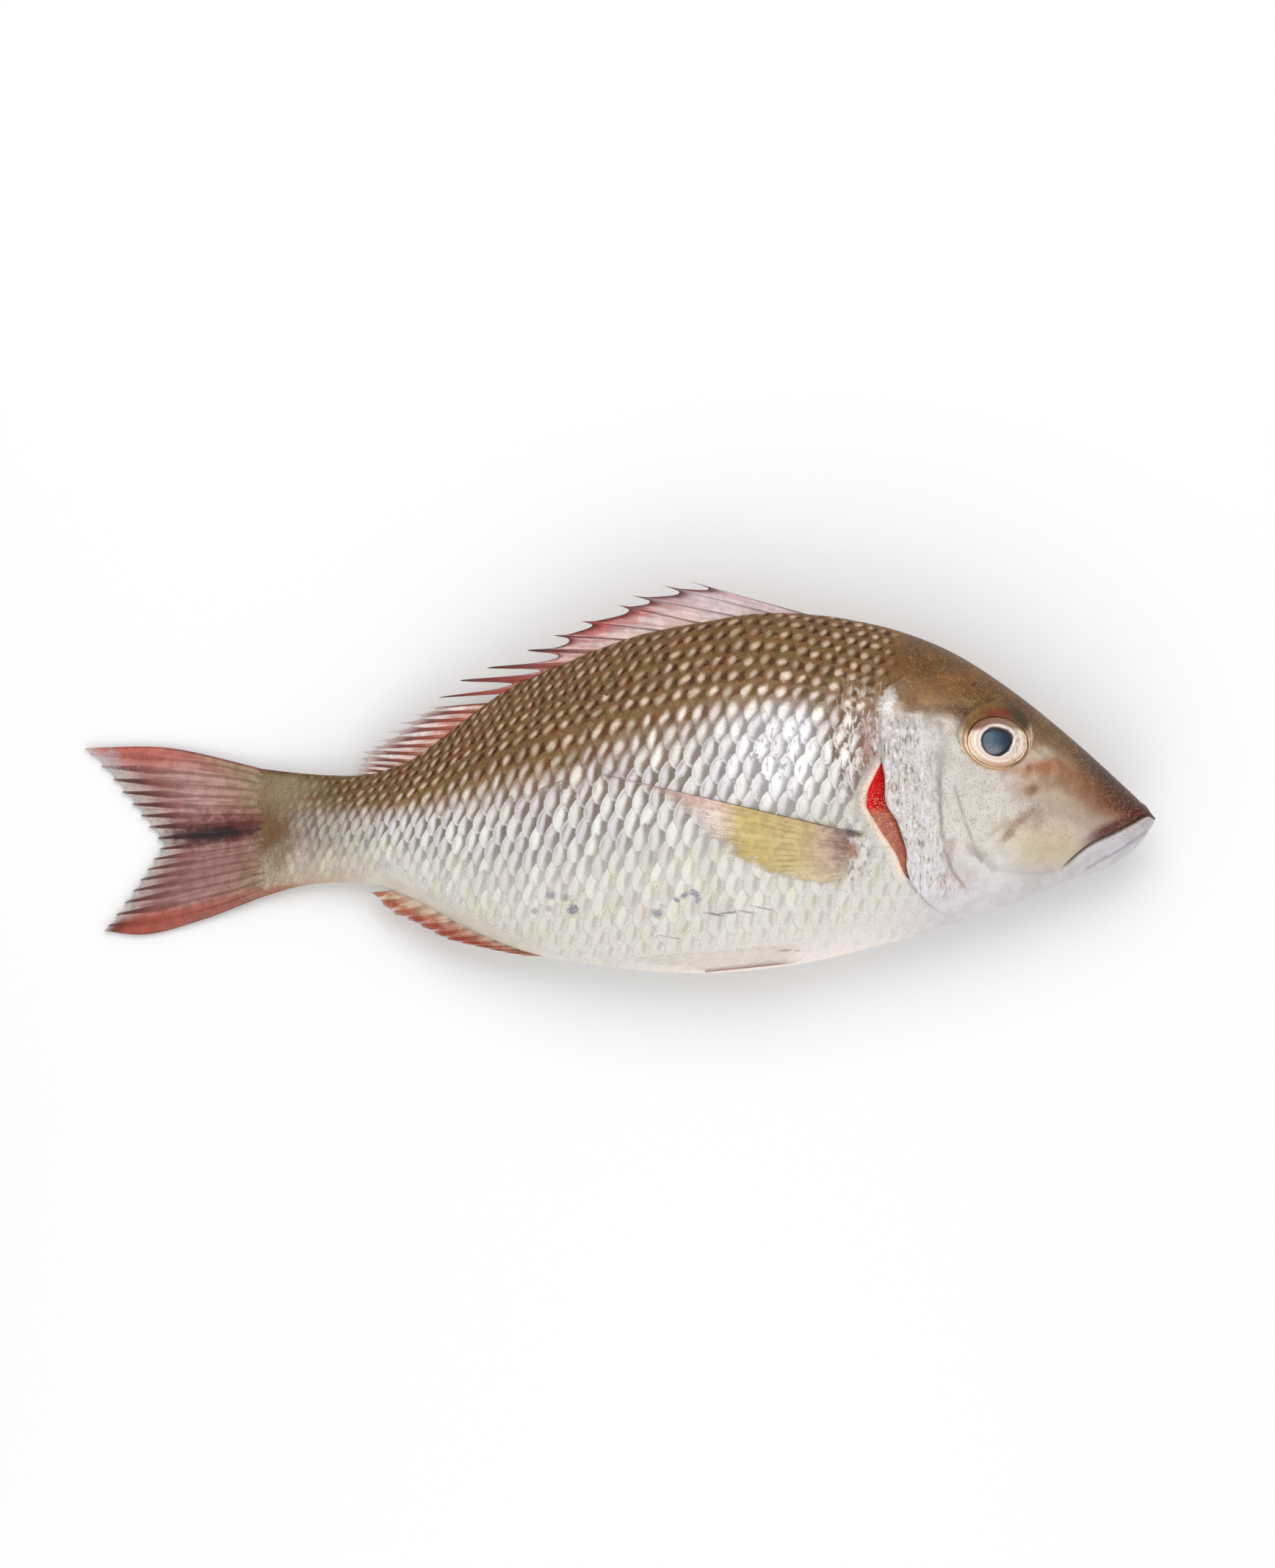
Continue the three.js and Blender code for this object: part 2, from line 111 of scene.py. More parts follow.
@dataclass(frozen=True)
class Run:
    """A smooth curve through knots, each a place followed by its values."""

    knots: Knots
    column: int = 1

    def __call__(self, place: Number) -> Array:
        """Reads the curve.

        Args:
            place: One place or many; outside the knots the end values hold.

        Returns:
            The value at each place.
        """
        table = np.array(self.knots, float)
        if table[0, 0] > table[-1, 0]:
            table = table[::-1]
        xs, ys = table[:, 0], table[:, self.column]
        order = np.arange(len(xs))
        before = np.maximum(order - 1, 0)
        after = np.minimum(order + 1, len(xs) - 1)
        slopes = (ys[after] - ys[before]) / (xs[after] - xs[before])
        place = np.asarray(place, float)
        i = np.clip(np.searchsorted(xs, place) - 1, 0, len(xs) - 2)
        span = xs[i + 1] - xs[i]
        t = np.clip((place - xs[i]) / span, 0, 1)
        t2, t3 = t * t, t * t * t
        return (
            ys[i] * (2 * t3 - 3 * t2 + 1)
            + slopes[i] * span * (t3 - 2 * t2 + t)
            + ys[i + 1] * (3 * t2 - 2 * t3)
            + slopes[i + 1] * span * (t3 - t2)
        )


def along(knots: Knots, place: Number) -> Grids:
    """Two smooth curves through the same knots, such as places and heights."""
    return Run(knots, 1)(place), Run(knots, 2)(place)


def circle(count: int) -> Array:
    """Even turns all the way round, as one row."""
    return np.linspace(0, 2 * np.pi, count, endpoint=False)[None, :]


@dataclass(frozen=True)
class Line:
    """A broken line over the skin, through places."""

    places: Knots

    def distance(self, s: Array, y: Array) -> Array:
        """How far places are from the line.

        Args:
            s: Distances behind the snout.
            y: Heights.

        Returns:
            The distance to the nearest part of the line.
        """
        best = np.full(np.broadcast(s, y).shape, 1e9)
        for (s0, y0), (s1, y1) in zip(self.places, self.places[1:]):
            ds, dy = s1 - s0, y1 - y0
            t = np.clip(((s - s0) * ds + (y - y0) * dy) / (ds * ds + dy * dy), 0, 1)
            best = np.minimum(best, np.hypot(s - s0 - t * ds, y - y0 - t * dy))
        return best


# The bare body
@dataclass(frozen=True)
class Body:
    """The trunk, head and tail root: smooth profiles down the length, as in the solids."""

    top: float = 87.0
    end: float = 347.0
    root_round: float = 13.0
    back_edge: float = 1.2
    belly_edge: float = 0.98
    pressed_under: float = 1.0
    back: Run = Run((
        (0, -1.2), (3, 2.4), (9.3, 8.7), (31, 28.4), (53, 46.1), (75, 60.3), (97, 69),
        (121, 74.2), (146, 75.4), (166, 72.6), (193, 67), (221, 56.4), (241, 47.2),
        (259, 34.4), (276, 21.6), (292, 15.8), (306, 15.2), (322, 16.4), (337, 18.3), (347, 20.4)))
    belly: Run = Run((
        (0, -1.2), (1.5, -4.4), (5, -9.6), (10, -14.6), (18, -19.8), (31, -24), (53, -33.2),
        (75, -40.2), (102, -48.6), (134, -56), (170, -59.2), (205, -56.6), (233, -51.6),
        (255, -43), (277, -31.4), (290, -26.8), (306, -25.6), (320, -27.4), (334, -31.6), (347, -36)))
    half_width: Run = Run((
        (0, 0), (1.5, 3), (6, 6.4), (14, 10.2), (30, 15.2), (50, 19.6), (75, 23.8), (100, 26.4),
        (130, 27.4), (160, 26.8), (190, 24.6), (220, 20.8), (250, 15.8), (280, 10.8), (305, 7.8),
        (325, 5.2), (338, 3), (347, 1.2)))
    widest_at: Run = Run((
        (0, -1.2), (14, -2), (50, 4), (100, 9), (170, 8), (240, 0), (290, -5), (347, -8)))
    lift: Run = Run((
        (0, 22), (60, 24.2), (110, 25), (190, 25), (220, 23.4), (250, 18.6), (280, 12.4),
        (305, 8), (325, 5.2), (345, 2.8), (365, 1.7), (400, 1.5)))

    def edge(self, c: Array) -> Array:
        """How sharply the outline bends: c is -1 at the belly and 1 at the back."""
        return between(self.belly_edge, self.back_edge, smooth(c, -0.6, 0.8))

    def share_out(self, s: Number, y: Number) -> Array:
        """Heights as a share of the way from the widest line to the belly, -1, or the back, 1."""
        widest = self.widest_at(s)
        return (y - widest) / np.where(y > widest, self.back(s) - widest, widest - self.belly(s))

    def ring(self, s: Number, angle: Number) -> Array:
        """Points of the bare outline of the body.

        Args:
            s: Distances behind the snout.
            angle: Turns round the body: 0 is the back, a quarter turn the right side.

        Returns:
            Points (minus s, height, stand-off from the floor).
        """
        s, angle = np.broadcast_arrays(np.asarray(s, float), np.asarray(angle, float))
        c, across = np.cos(angle), np.sin(angle)
        widest, back, belly = self.widest_at(s), self.back(s), self.belly(s)
        high = np.where(c > 0, back - widest, widest - belly)
        out = self.half_width(s) * np.sign(across) * np.abs(across) ** self.edge(c)
        part = np.clip((s - self.end + self.root_round) / self.root_round, 0, 1)
        middle = (back + belly) / 2
        y = middle + (widest + high * c - middle) * np.sqrt(np.maximum(1 - part**2, 0))
        return np.stack([-s, y, self.lift(s) + out], -1)

    def facing(self, s: Number, angle: Number) -> Array:
        """The way out of the body at places of its outline.

        Args:
            s: Distances behind the snout.
            angle: Turns round the body.

        Returns:
            Unit vectors.
        """
        step, turn = 0.4, 0.01
        along = self.ring(s + step, angle) - self.ring(np.maximum(s - step, 0.01), angle)
        around = self.ring(s, angle + turn) - self.ring(s, angle - turn)
        out = np.cross(along, around)
        return out / np.maximum(np.linalg.norm(out, axis=-1, keepdims=True), 1e-12)

    def angle_at(self, s: Number, y: Number, side: Side) -> Array:
        """The turn round the body at which a flank has a height, kept off the very back and belly."""
        return side.value * np.arccos(np.clip(self.share_out(s, y), -0.998, 0.998))

    def over_skin(self, s: Number, y: Number, over: Number, side: Side) -> Array:
        """Points that stand off the outline of a flank by some height."""
        angle = self.angle_at(s, y, side)
        return self.ring(s, angle) + self.facing(s, angle) * np.asarray(over)[..., None]

    def half_at(self, s: Array, y: Array) -> Array:
        """Half the body's thickness at places of its side view, and 0 outside it."""
        c = np.clip(self.share_out(s, y), -1, 1)
        return self.half_width(s) * (1 - c * c) ** (self.edge(c) / 2)

    def share_up(self, s: Array, y: Array) -> Array:
        """How far up the flank a height is, from 0 at the belly to 1 at the back."""
        belly = self.belly(s)
        return np.clip((y - belly) / np.maximum(self.back(s) - belly, 0.5), 0, 1)

    def place(self, points: Array) -> Array:
        """Turns points into metres of the shared frame, the low ones pressed flat over the floor.

        Args:
            points: Points of the body in millimetres.

        Returns:
            The same points in metres.
        """
        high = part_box("fish")[1]
        moved = points * MM
        moved[:, 0] += high.x
        moved[:, 1] += high.y - self.top * MM
        knee, z = self.pressed_under * MM, moved[:, 2]
        moved[:, 2] = np.where(z < knee, knee**2 / (2 * knee - np.minimum(z, knee)), z)
        return moved


BREAM = Body()


# Faces and pieces
def grid(rows: int, columns: int, closed: bool = False) -> Array:
    """Faces between the points of a grid that is kept row by row.

    Args:
        rows: Points down.
        columns: Points across.
        closed: Whether the last column joins the first.

    Returns:
        Four point numbers for each face.
    """
    i, j = np.meshgrid(
        np.arange(rows - 1), np.arange(columns if closed else columns - 1), indexing="ij")
    a = i * columns + j
    b = i * columns + (j + 1) % columns
    return np.stack([a, a + columns, b + columns, b], -1).reshape(-1, 4)


def fan(hub: int, start: int, count: int) -> Array:
    """Triangles between a hub point and a closed ring of points that starts at a number."""
    j = np.arange(count)
    return np.stack([np.full_like(j, hub), start + j, start + (j + 1) % count], -1)


def sheet_faces(rows: int, columns: int) -> Array:
    """Faces of a thin closed sheet: a grid, the grid under it, and the rim between them.

    Args:
        rows: Points down.
        columns: Points across.

    Returns:
        Four point numbers for each face.
    """
    count = rows * columns
    over = grid(rows, columns)
    j, i = np.arange(columns), np.arange(rows)
    rim = np.concatenate([
        j, (i[1:] + 1) * columns - 1, (rows - 1) * columns + j[-2::-1], i[-2:0:-1] * columns])
    after = np.roll(rim, -1)
    walls = np.stack([rim, after, after + count, rim + count], -1)
    return np.concatenate([over, over[:, ::-1] + count, walls])


@dataclass
class Draft:
    """Points and faces gathered for one piece, with named marks kept at each point."""

    points: list[Array] = field(default_factory=list)
    faces: list[Array] = field(default_factory=list)
    marks: dict[str, list[Array]] = field(default_factory=dict)
    soft: list[Array] = field(default_factory=list)
    count: int = 0

    def add(
            self, points: Array, faces: Sequence[Array], flip: bool = False, hard: int = 0,
            **marks: Number) -> "Draft":
        """Adds points with their faces.

        Args:
            points: Points of the body, in any shape that ends in three.
            faces: Arrays of faces that number these points from 0.
            flip: Whether they have to be turned round to point out.
            hard: How many of the last arrays are hard-edged walls.
            **marks: A value for every point, or one for them all.

        Returns:
            The draft.
        """
        shape = points.shape[:-1]
        self.points.append(points.reshape(-1, 3))
        self.faces += [(face[:, ::-1] if flip else face) + self.count for face in faces]
        self.soft += [np.full(len(face), i < len(faces) - hard) for i, face in enumerate(faces)]
        for name, value in marks.items():
            spread = np.broadcast_to(np.asarray(value, float), shape)
            self.marks.setdefault(name, []).append(spread.reshape(-1))
        self.count += int(np.prod(shape))
        return self

    def add_sheet(self, over: Array, under: Array, flip: bool, **marks: Number) -> "Draft":
        """Adds a thin closed sheet between two grids of points, both with the same marks."""
        both = {k: np.stack([np.broadcast_to(v, over.shape[:2])] * 2) for k, v in marks.items()}
        return self.add(np.stack([over, under]), [sheet_faces(*over.shape[:2])], flip, **both)

    def make(self, name: str, material: Material, slot: str, stands_for: str = "") -> None:
        """Makes the piece and lets it ride on the body.

        Args:
            name: The piece's name.
            material: Its finish.
            slot: The record's slot for that finish; not used.
            stands_for: The solid that it replaces, if any.
        """
        mesh = bpy.data.meshes.new(name)
        points = BREAM.place(np.concatenate(self.points))
        corners = np.concatenate([face.reshape(-1) for face in self.faces])
        sizes = np.concatenate([np.full(len(face), face.shape[1]) for face in self.faces])
        mesh.vertices.add(len(points))
        mesh.vertices.foreach_set("co", points.astype(np.float32).ravel())
        mesh.loops.add(len(corners))
        mesh.loops.foreach_set("vertex_index", corners.astype(np.int32))
        mesh.polygons.add(len(sizes))
        starts = np.concatenate([[0], np.cumsum(sizes)[:-1]])
        mesh.polygons.foreach_set("loop_start", starts.astype(np.int32))
        mesh.polygons.foreach_set("use_smooth", np.concatenate(self.soft))
        mesh.update(calc_edges=True)
        for mark, values in self.marks.items():
            attribute = mesh.attributes.new(mark, "FLOAT", "POINT")
            attribute.data.foreach_set("value", np.concatenate(values).astype(np.float32))
        mesh.validate()
        mesh.materials.append(material)
        piece = bpy.data.objects.new(name, mesh)
        bpy.context.scene.collection.objects.link(piece)
        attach(piece, BODY)
        if stands_for:
            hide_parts(stands_for)
        log.info("%s: %d faces", name, len(mesh.polygons))


# Nodes
def tone(seen: Seen, gain: float = 1.0) -> tuple[float, ...]:
    """Turns a colour as the eye sees it, 0 to 255, into the pigment's own linear colour."""
    linear = [v / 255 / 12.92 if v <= 10 else ((v / 255 + 0.055) / 1.055) ** 2.4 for v in seen]
    return (*(min(max((v - GLOSS) * gain, 0.003), 0.95) for v in linear), 1)


class Wire:
    """A value on its way through a node tree, so that sums of nodes are written as sums."""

    def __init__(self, board: "Board", socket: bpy.types.NodeSocket) -> None:
        """Keeps the socket it comes from and the board."""
        self.board, self.socket = board, socket

    def math(self, operation: str, *others: Any) -> "Wire":
        """The result of a math node that takes this value first."""
        return self.board.math(operation, self, *others)

    def __rsub__(self, other: float) -> "Wire":
        """What is left of a number after this value is taken off."""
        return self.board.math("SUBTRACT", other, self)

    def span(self, low: Any, high: Any, start: Any = 0.0, stop: Any = 1.0) -> "Wire":
        """Maps the value softly: start where it is low, stop where it is high."""
        return self.board.wire("MapRange", self, low, high, start, stop, interpolation_type="SMOOTHSTEP")

    def fall(self, low: Any, high: Any) -> "Wire":
        """Maps the value softly: 1 where it is low, 0 where it is high."""
        return self.span(low, high, 1, 0)

    __add__ = partialmethod(math, "ADD")
    __sub__ = partialmethod(math, "SUBTRACT")
    __mul__ = partialmethod(math, "MULTIPLY")
    __truediv__ = partialmethod(math, "DIVIDE")
    __pow__ = partialmethod(math, "POWER")
    __abs__ = partialmethod(math, "ABSOLUTE")


class Board:
    """A node tree with short ways to add and wire its nodes."""

    def __init__(self, tree: Tree) -> None:
        """Keeps the tree that the nodes go in."""
        self.tree = tree

    def feed(self, socket: bpy.types.NodeSocket, source: Any) -> None:
        """Feeds a socket.

        Args:
            socket: The socket.
            source: A wire, a value, a colour as it is seen, or None to leave it alone.
        """
        if isinstance(source, Wire):
            self.tree.links.new(source.socket, socket)
        elif source is not None:
            seen = socket.type == "RGBA" and len(source) == 3
            socket.default_value = tone(source) if seen else source

    def node(self, kind: str, *sources: Any, **settings: Any) -> bpy.types.Node:
        """Adds a shader node.

        Args:
            kind: The end of its type's name.
            *sources: What feeds its inputs, in their order.
            **settings: Properties of the node.

        Returns:
            The node.
        """
        node = self.tree.nodes.new("ShaderNode" + kind)
        for name, value in settings.items():
            setattr(node, name, value)
        for socket, source in zip(node.inputs, sources):
            self.feed(socket, source)
        return node

    def wire(self, kind: str, *sources: Any, output: Union[int, str] = 0, **settings: Any) -> Wire:
        """An output, the first or a named one, of a new node."""
        return Wire(self, self.node(kind, *sources, **settings).outputs[output])

    def marks(self, names: str) -> list[Wire]:
        """The named marks that are kept at the points of the mesh."""
        return [self.wire("Attribute", output="Fac", attribute_name=name) for name in names.split()]

    def math(self, operation: str, *sources: Any) -> Wire:
        """The result of a math node."""
        return self.wire("Math", *sources, operation=operation)

    def vector(self, operation: str, *sources: Any) -> Wire:
        """The result of a vector node."""
        return self.wire("VectorMath", *sources, operation=operation)

    def join(self, x: Wire, y: Wire, z: Any = 0.0) -> Wire:
        """Three numbers as a vector."""
        return self.wire("CombineXYZ", x, y, z)

    def noise(self, place: Wire, size: float, detail: float = 2.0) -> Wire:
        """Cloudy noise from about 0.3 to 0.7, with clouds of a size in the units of the place."""
        return self.wire("TexNoise", place, None, 1 / size, detail)

    def mix(self, share: Any, first: Any, second: Any, mode: str = "MIX") -> Wire:
        """Mixes two colours.

        Args:
            share: How much of the second shows.
            first: A wire or a colour as it is seen.
            second: The same.
            mode: How they mix.

        Returns:
            The mixed colour.
        """
        node = self.node("Mix", share, data_type="RGBA", blend_type=mode)
        self.feed(node.inputs[6], first)
        self.feed(node.inputs[7], second)
        return Wire(self, node.outputs[2])

    def ramp(self, value: Wire, stops: Sequence[tuple[float, Any]]) -> Wire:
        """A colour or a number that changes with a value from 0 to 1.

        Args:
            value: The value.
            stops: Places, each with the colour seen there or the number there.

        Returns:
            The colour or number.
        """
        node = self.node("ValToRGB", value)
        band = node.color_ramp
        while len(band.elements) < len(stops):
            band.elements.new(0.5)
        for element, (place, _) in zip(band.elements, stops):
            element.position = place
        for element, (_, there) in zip(band.elements, stops):
            element.color = tone(there) if isinstance(there, tuple) else (there, there, there, 1)
        return Wire(self, node.outputs[0])

    def use(self, tree: Tree, **inputs: Any) -> dict[str, Wire]:
        """Places a shared group.

        Args:
            tree: The group.
            **inputs: What feeds its inputs, with _ for a space in a name.

        Returns:
            Its outputs by name.
        """
        node = self.node("Group", node_tree=tree)
        for name, source in inputs.items():
            self.feed(node.inputs[name.replace("_", " ")], source)
        return {socket.name: Wire(self, socket) for socket in node.outputs}


class Group(Board):
    """A shared node group while it is being built."""

    def __init__(self, name: str, inputs: str, outputs: str) -> None:
        """Makes the group and its sockets.

        Args:
            name: The group's name.
            inputs: Names of its inputs, with _ for a space, each a number or as the word after : says.
            outputs: The same for its outputs.
        """
        super().__init__(bpy.data.node_groups.new(name, "ShaderNodeTree"))
        for words, way in ((inputs, "INPUT"), (outputs, "OUTPUT")):
            for word in words.split():
                label, _, kind = word.replace("_", " ").partition(":")
                kind = "NodeSocket" + (kind or "Float")
                self.tree.interface.new_socket(label, in_out=way, socket_type=kind)
        start = self.tree.nodes.new("NodeGroupInput")
        self.given = {socket.name: Wire(self, socket) for socket in start.outputs}
        self.end = self.tree.nodes.new("NodeGroupOutput")

    def close(self, **results: Wire) -> Tree:
        """Feeds the outputs, by name, and hands over the group."""
        for name, result in results.items():
            self.feed(self.end.inputs[name], result)
        return self.tree


# FLANK_LIGHT and ROOT_LIGHT give each scale's pale spot, which is partly a painted highlight; FLANK_DARK
# and ROOT_DARK are the flank's own darker tones, also laid in the scale pockets as painted shade.
FLANK_LIGHT = (
    (0, (246, 236, 230)), (0.08, (229, 224, 218)), (0.22, (225, 222, 214)), (0.42, (226, 223, 217)),
    (0.56, (234, 230, 227)), (0.67, (234, 227, 222)), (0.75, (232, 221, 211)), (0.84, (218, 196, 174)),
    (1, (202, 174, 146)))
FLANK_DARK = (
    (0, (240, 228, 220)), (0.08, (216, 209, 201)), (0.22, (205, 202, 195)), (0.34, (196, 193, 189)),
    (0.44, (160, 154, 147)), (0.56, (126, 114, 101)), (0.67, (122, 102, 84)), (0.75, (112, 84, 58)),
    (0.84, (80, 52, 20)), (1, (72, 45, 12)))
ROOT_LIGHT = (
    (0, (196, 166, 142)), (0.15, (188, 172, 152)), (0.4, (162, 151, 136)), (0.68, (157, 144, 126)),
    (0.84, (144, 126, 98)), (1, (128, 106, 78)))
ROOT_DARK = (
    (0, (168, 138, 116)), (0.15, (162, 148, 130)), (0.4, (120, 107, 92)), (0.68, (112, 95, 76)),
    (0.84, (92, 72, 46)), (1, (82, 60, 36)))


class Effects:
    """The shader node groups that several finishes share."""

    def __init__(self) -> None:
        """Builds each group once."""
        self.patch, self.flank, self.grain = self._patch(), self._flank(), self._grain()
        self.flakes, self.rays = self._flakes(), self._rays()

    def _patch(self) -> Tree:
        """A soft, ragged oval mask round a place, with turned axes.

        Returns:
            The group.
        """
        group = Group(
            "soft_patch", "Place:Vector Rough Middle:Vector Reach:Vector Turn Edge Ragged Strength", "Mask")
        given = group.given
        away = group.vector("SUBTRACT", given["Place"], given["Middle"])
        turned = group.wire("VectorRotate", away, None, None, given["Turn"], rotation_type="Z_AXIS")
        scaled = group.vector("DIVIDE", turned, given["Reach"])
        length = group.wire("VectorMath", scaled, output="Value", operation="LENGTH")
        wander = (given["Rough"] - 0.5) * given["Ragged"]
        mask = (length + wander).fall(1 - given["Edge"], given["Edge"] + 1)
        return group.close(Mask=mask * given["Strength"])

    def _flank(self) -> Tree:
        """Pale and dark flank colours by how far up and how far back a place is, with painted highlights
        and glare.

        Returns:
            The group.
        """
        group = Group("flank_colours", "Up Behind", "Light:Color Dark:Color Field:Color Level Silver")
        up, behind = group.given["Up"], group.given["Behind"]
        level = up + behind.span(150, 235, 0, 0.11) - behind.span(250, 300, 0, 0.05)
        rear = behind.span(272, 316, 0, 0.85)
        root = group.ramp(up, ROOT_LIGHT)
        # The silvery patch of the upper flank: partly the fish's own silver, partly a painted glare of the
        # key light mixed in as white.
        silver_glare = level.span(0.40, 0.55) * level.fall(0.68, 0.78)
        silver_glare = silver_glare * (behind.span(118, 135) * behind.span(134, 182, 1, 0.15))
        light = group.mix(silver_glare, group.ramp(level, FLANK_LIGHT), (255, 253, 255))
        tan_root = group.mix(up.span(0.6, 0.84), root, (124, 105, 78))
        tan = group.mix(level.span(0.66, 0.82), light, (160, 127, 90))
        dark = group.mix(rear, group.ramp(level, FLANK_DARK), group.ramp(up, ROOT_DARK))
        return group.close(
            Light=group.mix(rear, light, root), Dark=dark, Field=group.mix(rear, tan, tan_root),
            Level=level, Silver=silver_glare)

    def _grain(self) -> Tree:
        """Coarse and fine mottling of skin and flesh, and a wet unevenness for its relief.

        Returns:
            The group.
        """
        group = Group("skin_grain", "Coarse_Size Fine_Size", "Coarse Fine Cloud Relief")
        here = group.wire("TexCoord", output="Object")
        place = group.vector("SCALE", here, None, None, 1 / MM)
        coarse, fine = (
            group.wire("TexNoise", place, None, group.math("DIVIDE", 1, group.given[size]), 3)
            for size in ("Coarse Size", "Fine Size"))
        return group.close(
            Coarse=coarse.span(0.32, 0.68), Fine=fine.span(0.32, 0.68),
            Cloud=fine * 0.45 + coarse * 0.55, Relief=coarse * 0.7 + fine)

    def _flakes(self) -> Tree:
        """Wavy upright strokes: dark ones, and bright ones that are painted glints, as on a silvery gill
        cover.

        Returns:
            The group.
        """
        group = Group("silver_flakes", "Place:Vector Apart", "Dark Bright")
        place = group.given["Place"]
        wave = group.noise(group.vector("MULTIPLY", place, (1, 0.42, 1)), 3.6, 1.5)
        fleck = group.noise(group.vector("MULTIPLY", place, (1, 0.5, 1)), 1.5, 1.5)
        turns = group.math("DIVIDE", 2 * math.pi, group.given["Apart"])
        stroke = (group.wire("SeparateXYZ", place) * turns + wave * 26).math("SINE")
        return group.close(
            Dark=stroke.span(0.1, 0.95) * fleck.span(0.46, 0.58),
            Bright=stroke.span(-0.1, -0.9) * fleck.span(0.56, 0.42))

    def _rays(self) -> Tree:
        """Fine joints across the rays of a fin and its thin streaks, for colour and relief.

        Returns:
            The group.
        """
        group = Group("fin_rays", "Ray Out Across Joints Streaks", "Joint Streak Vein Relief")
        given = group.given
        joint = (given["Out"] * given["Joints"]).math("SINE").span(0.35, 0.95) * given["Ray"].span(0.3, 0.8)
        noise = group.noise(group.join(given["Out"] * 2.4, given["Across"] * given["Streaks"]), 1, 3)
        streak = noise.span(0.36, 0.66)
        return group.close(
            Joint=joint, Streak=streak, Vein=noise.span(0.48, 0.34), Relief=streak * 0.5 - joint * 0.5)


# Finishes
@dataclass(frozen=True)
class Patch:
    """A soft-edged patch of another colour, at a place and of a half size in millimetres."""

    colour: Seen
    at: Pair
    size: Pair
    turn: float = 0.0
    edge: float = 0.45
    ragged: float = 1.2
    strength: float = 1.0


def patches(*rows: tuple[float, ...]) -> tuple[Patch, ...]:
    """Patches from rows: colour, place, half size, turn, softness, raggedness and strength."""
    return tuple(Patch(row[:3], row[3:5], row[5:7], *row[7:]) for row in rows)


class Easel(Board):
    """The board of one material, with its shader, its grain and the colour laid so far."""

    def __init__(self, tree: Tree, effects: Effects, sizes: Pair) -> None:
        """Sets up the easel.

        Args:
            tree: The material's node tree.
            effects: The shared groups.
            sizes: The widths of its coarse and fine grain.
        """
        super().__init__(tree)
        self.effects = effects
        self.shader = tree.nodes["Principled BSDF"]
        grain = self.use(effects.grain, Coarse_Size=sizes[0], Fine_Size=sizes[1])
        self.coarse, self.fine, self.cloud, self.relief = grain.values()
        self.colour: Any = None

    def shade(self, name: str, source: Any) -> None:
        """Feeds a socket of the shader."""
        self.feed(self.shader.inputs[name], source)

    def lay(self, share: Any, over: Any, mode: str = "MIX") -> None:
        """Lays a share of another colour over the colour so far."""
        self.colour = self.mix(share, self.colour, over, mode)

    def dim(self, light: Wire) -> None:
        """Makes the colour darker or lighter."""
        self.colour = self.vector("MULTIPLY", self.colour, self.join(light, light, light))

    def mask(self, patch: Patch, place: Wire) -> Wire:
        """Where a patch shows.

        Args:
            patch: The patch.
            place: The place on the fish, as a vector.

        Returns:
            The mask, from 0 to the patch's strength.
        """
        group = self.use(
            self.effects.patch, Place=place, Rough=self.cloud, Middle=(*patch.at, 0),
            Reach=(*patch.size, 1), Turn=-math.radians(patch.turn), Edge=patch.edge,
            Ragged=patch.ragged, Strength=patch.strength)
        return group["Mask"]

    def lay_patches(self, spots: Sequence[Patch], place: Wire) -> None:
        """Lays patches over the colour, one after another."""
        for patch in spots:
            self.lay(self.mask(patch, place), patch.colour)


@dataclass(frozen=True)
class Finish:
    """A wet organic finish, with the numbers that are the same all over it."""

    name: str
    grain: Pair = (3, 0.6)
    roughness: float = 0.42
    coat: float = 0.12
    coat_roughness: float = 0.18
    specular: float = 0.3
    relief_depth: float = 0.1
    relief_strength: float = 0.45

    def paint(self, easel: Easel) -> None:
        """Lays the colours and sets the relief, in each kind of finish in its own way."""
        raise NotImplementedError

    def material(self, effects: Effects) -> Material:
        """Makes the material: its plain numbers, its painted colours and its relief.

        Args:
            effects: The shared groups.

        Returns:
            The material.
        """
        material = bpy.data.materials.new(self.name)
        material.use_nodes = True
        easel = Easel(material.node_tree, effects, self.grain)
        easel.shade("Roughness", self.roughness)
        easel.shade("Coat Weight", self.coat)
        easel.shade("Coat Roughness", self.coat_roughness)
        easel.shade("Specular IOR Level", self.specular)
        self.paint(easel)
        bump = easel.node("Bump", self.relief_strength, self.relief_depth * MM)
        easel.feed(bump.inputs["Height"], easel.relief)
        easel.shade("Normal", Wire(easel, bump.outputs[0]))
        easel.shade("Base Color", easel.colour)
        return material


HEAD_RAMP = (
    (0, (208, 203, 205)), (0.10, (214, 209, 212)), (0.20, (216, 212, 209)),
    (0.35, (217, 210, 200)), (0.50, (212, 206, 198)), (0.68, (210, 203, 195)), (0.735, (204, 193, 180)),
    (0.775, (150, 122, 88)), (0.86, (112, 79, 34)), (1, (98, 67, 28)))
MUZZLE_RAMP = (
    (0, (200, 198, 200)), (0.15, (192, 182, 174)), (0.25, (192, 176, 152)),
    (0.35, (205, 189, 174)), (0.45, (189, 172, 160)), (0.65, (180, 158, 132)),
    (0.75, (168, 136, 110)), (0.85, (134, 104, 76)), (0.92, (106, 78, 48)), (1, (94, 68, 38)))
SNOUT_RAMP = (
    (0, (196, 194, 196)), (0.15, (208, 204, 208)), (0.27, (196, 188, 188)),
    (0.38, (160, 142, 132)), (0.46, (170, 146, 130)), (0.56, (144, 106, 82)),
    (0.66, (80, 38, 14)), (0.76, (46, 12, 0)), (0.86, (40, 12, 0)), (1, (68, 40, 14)))

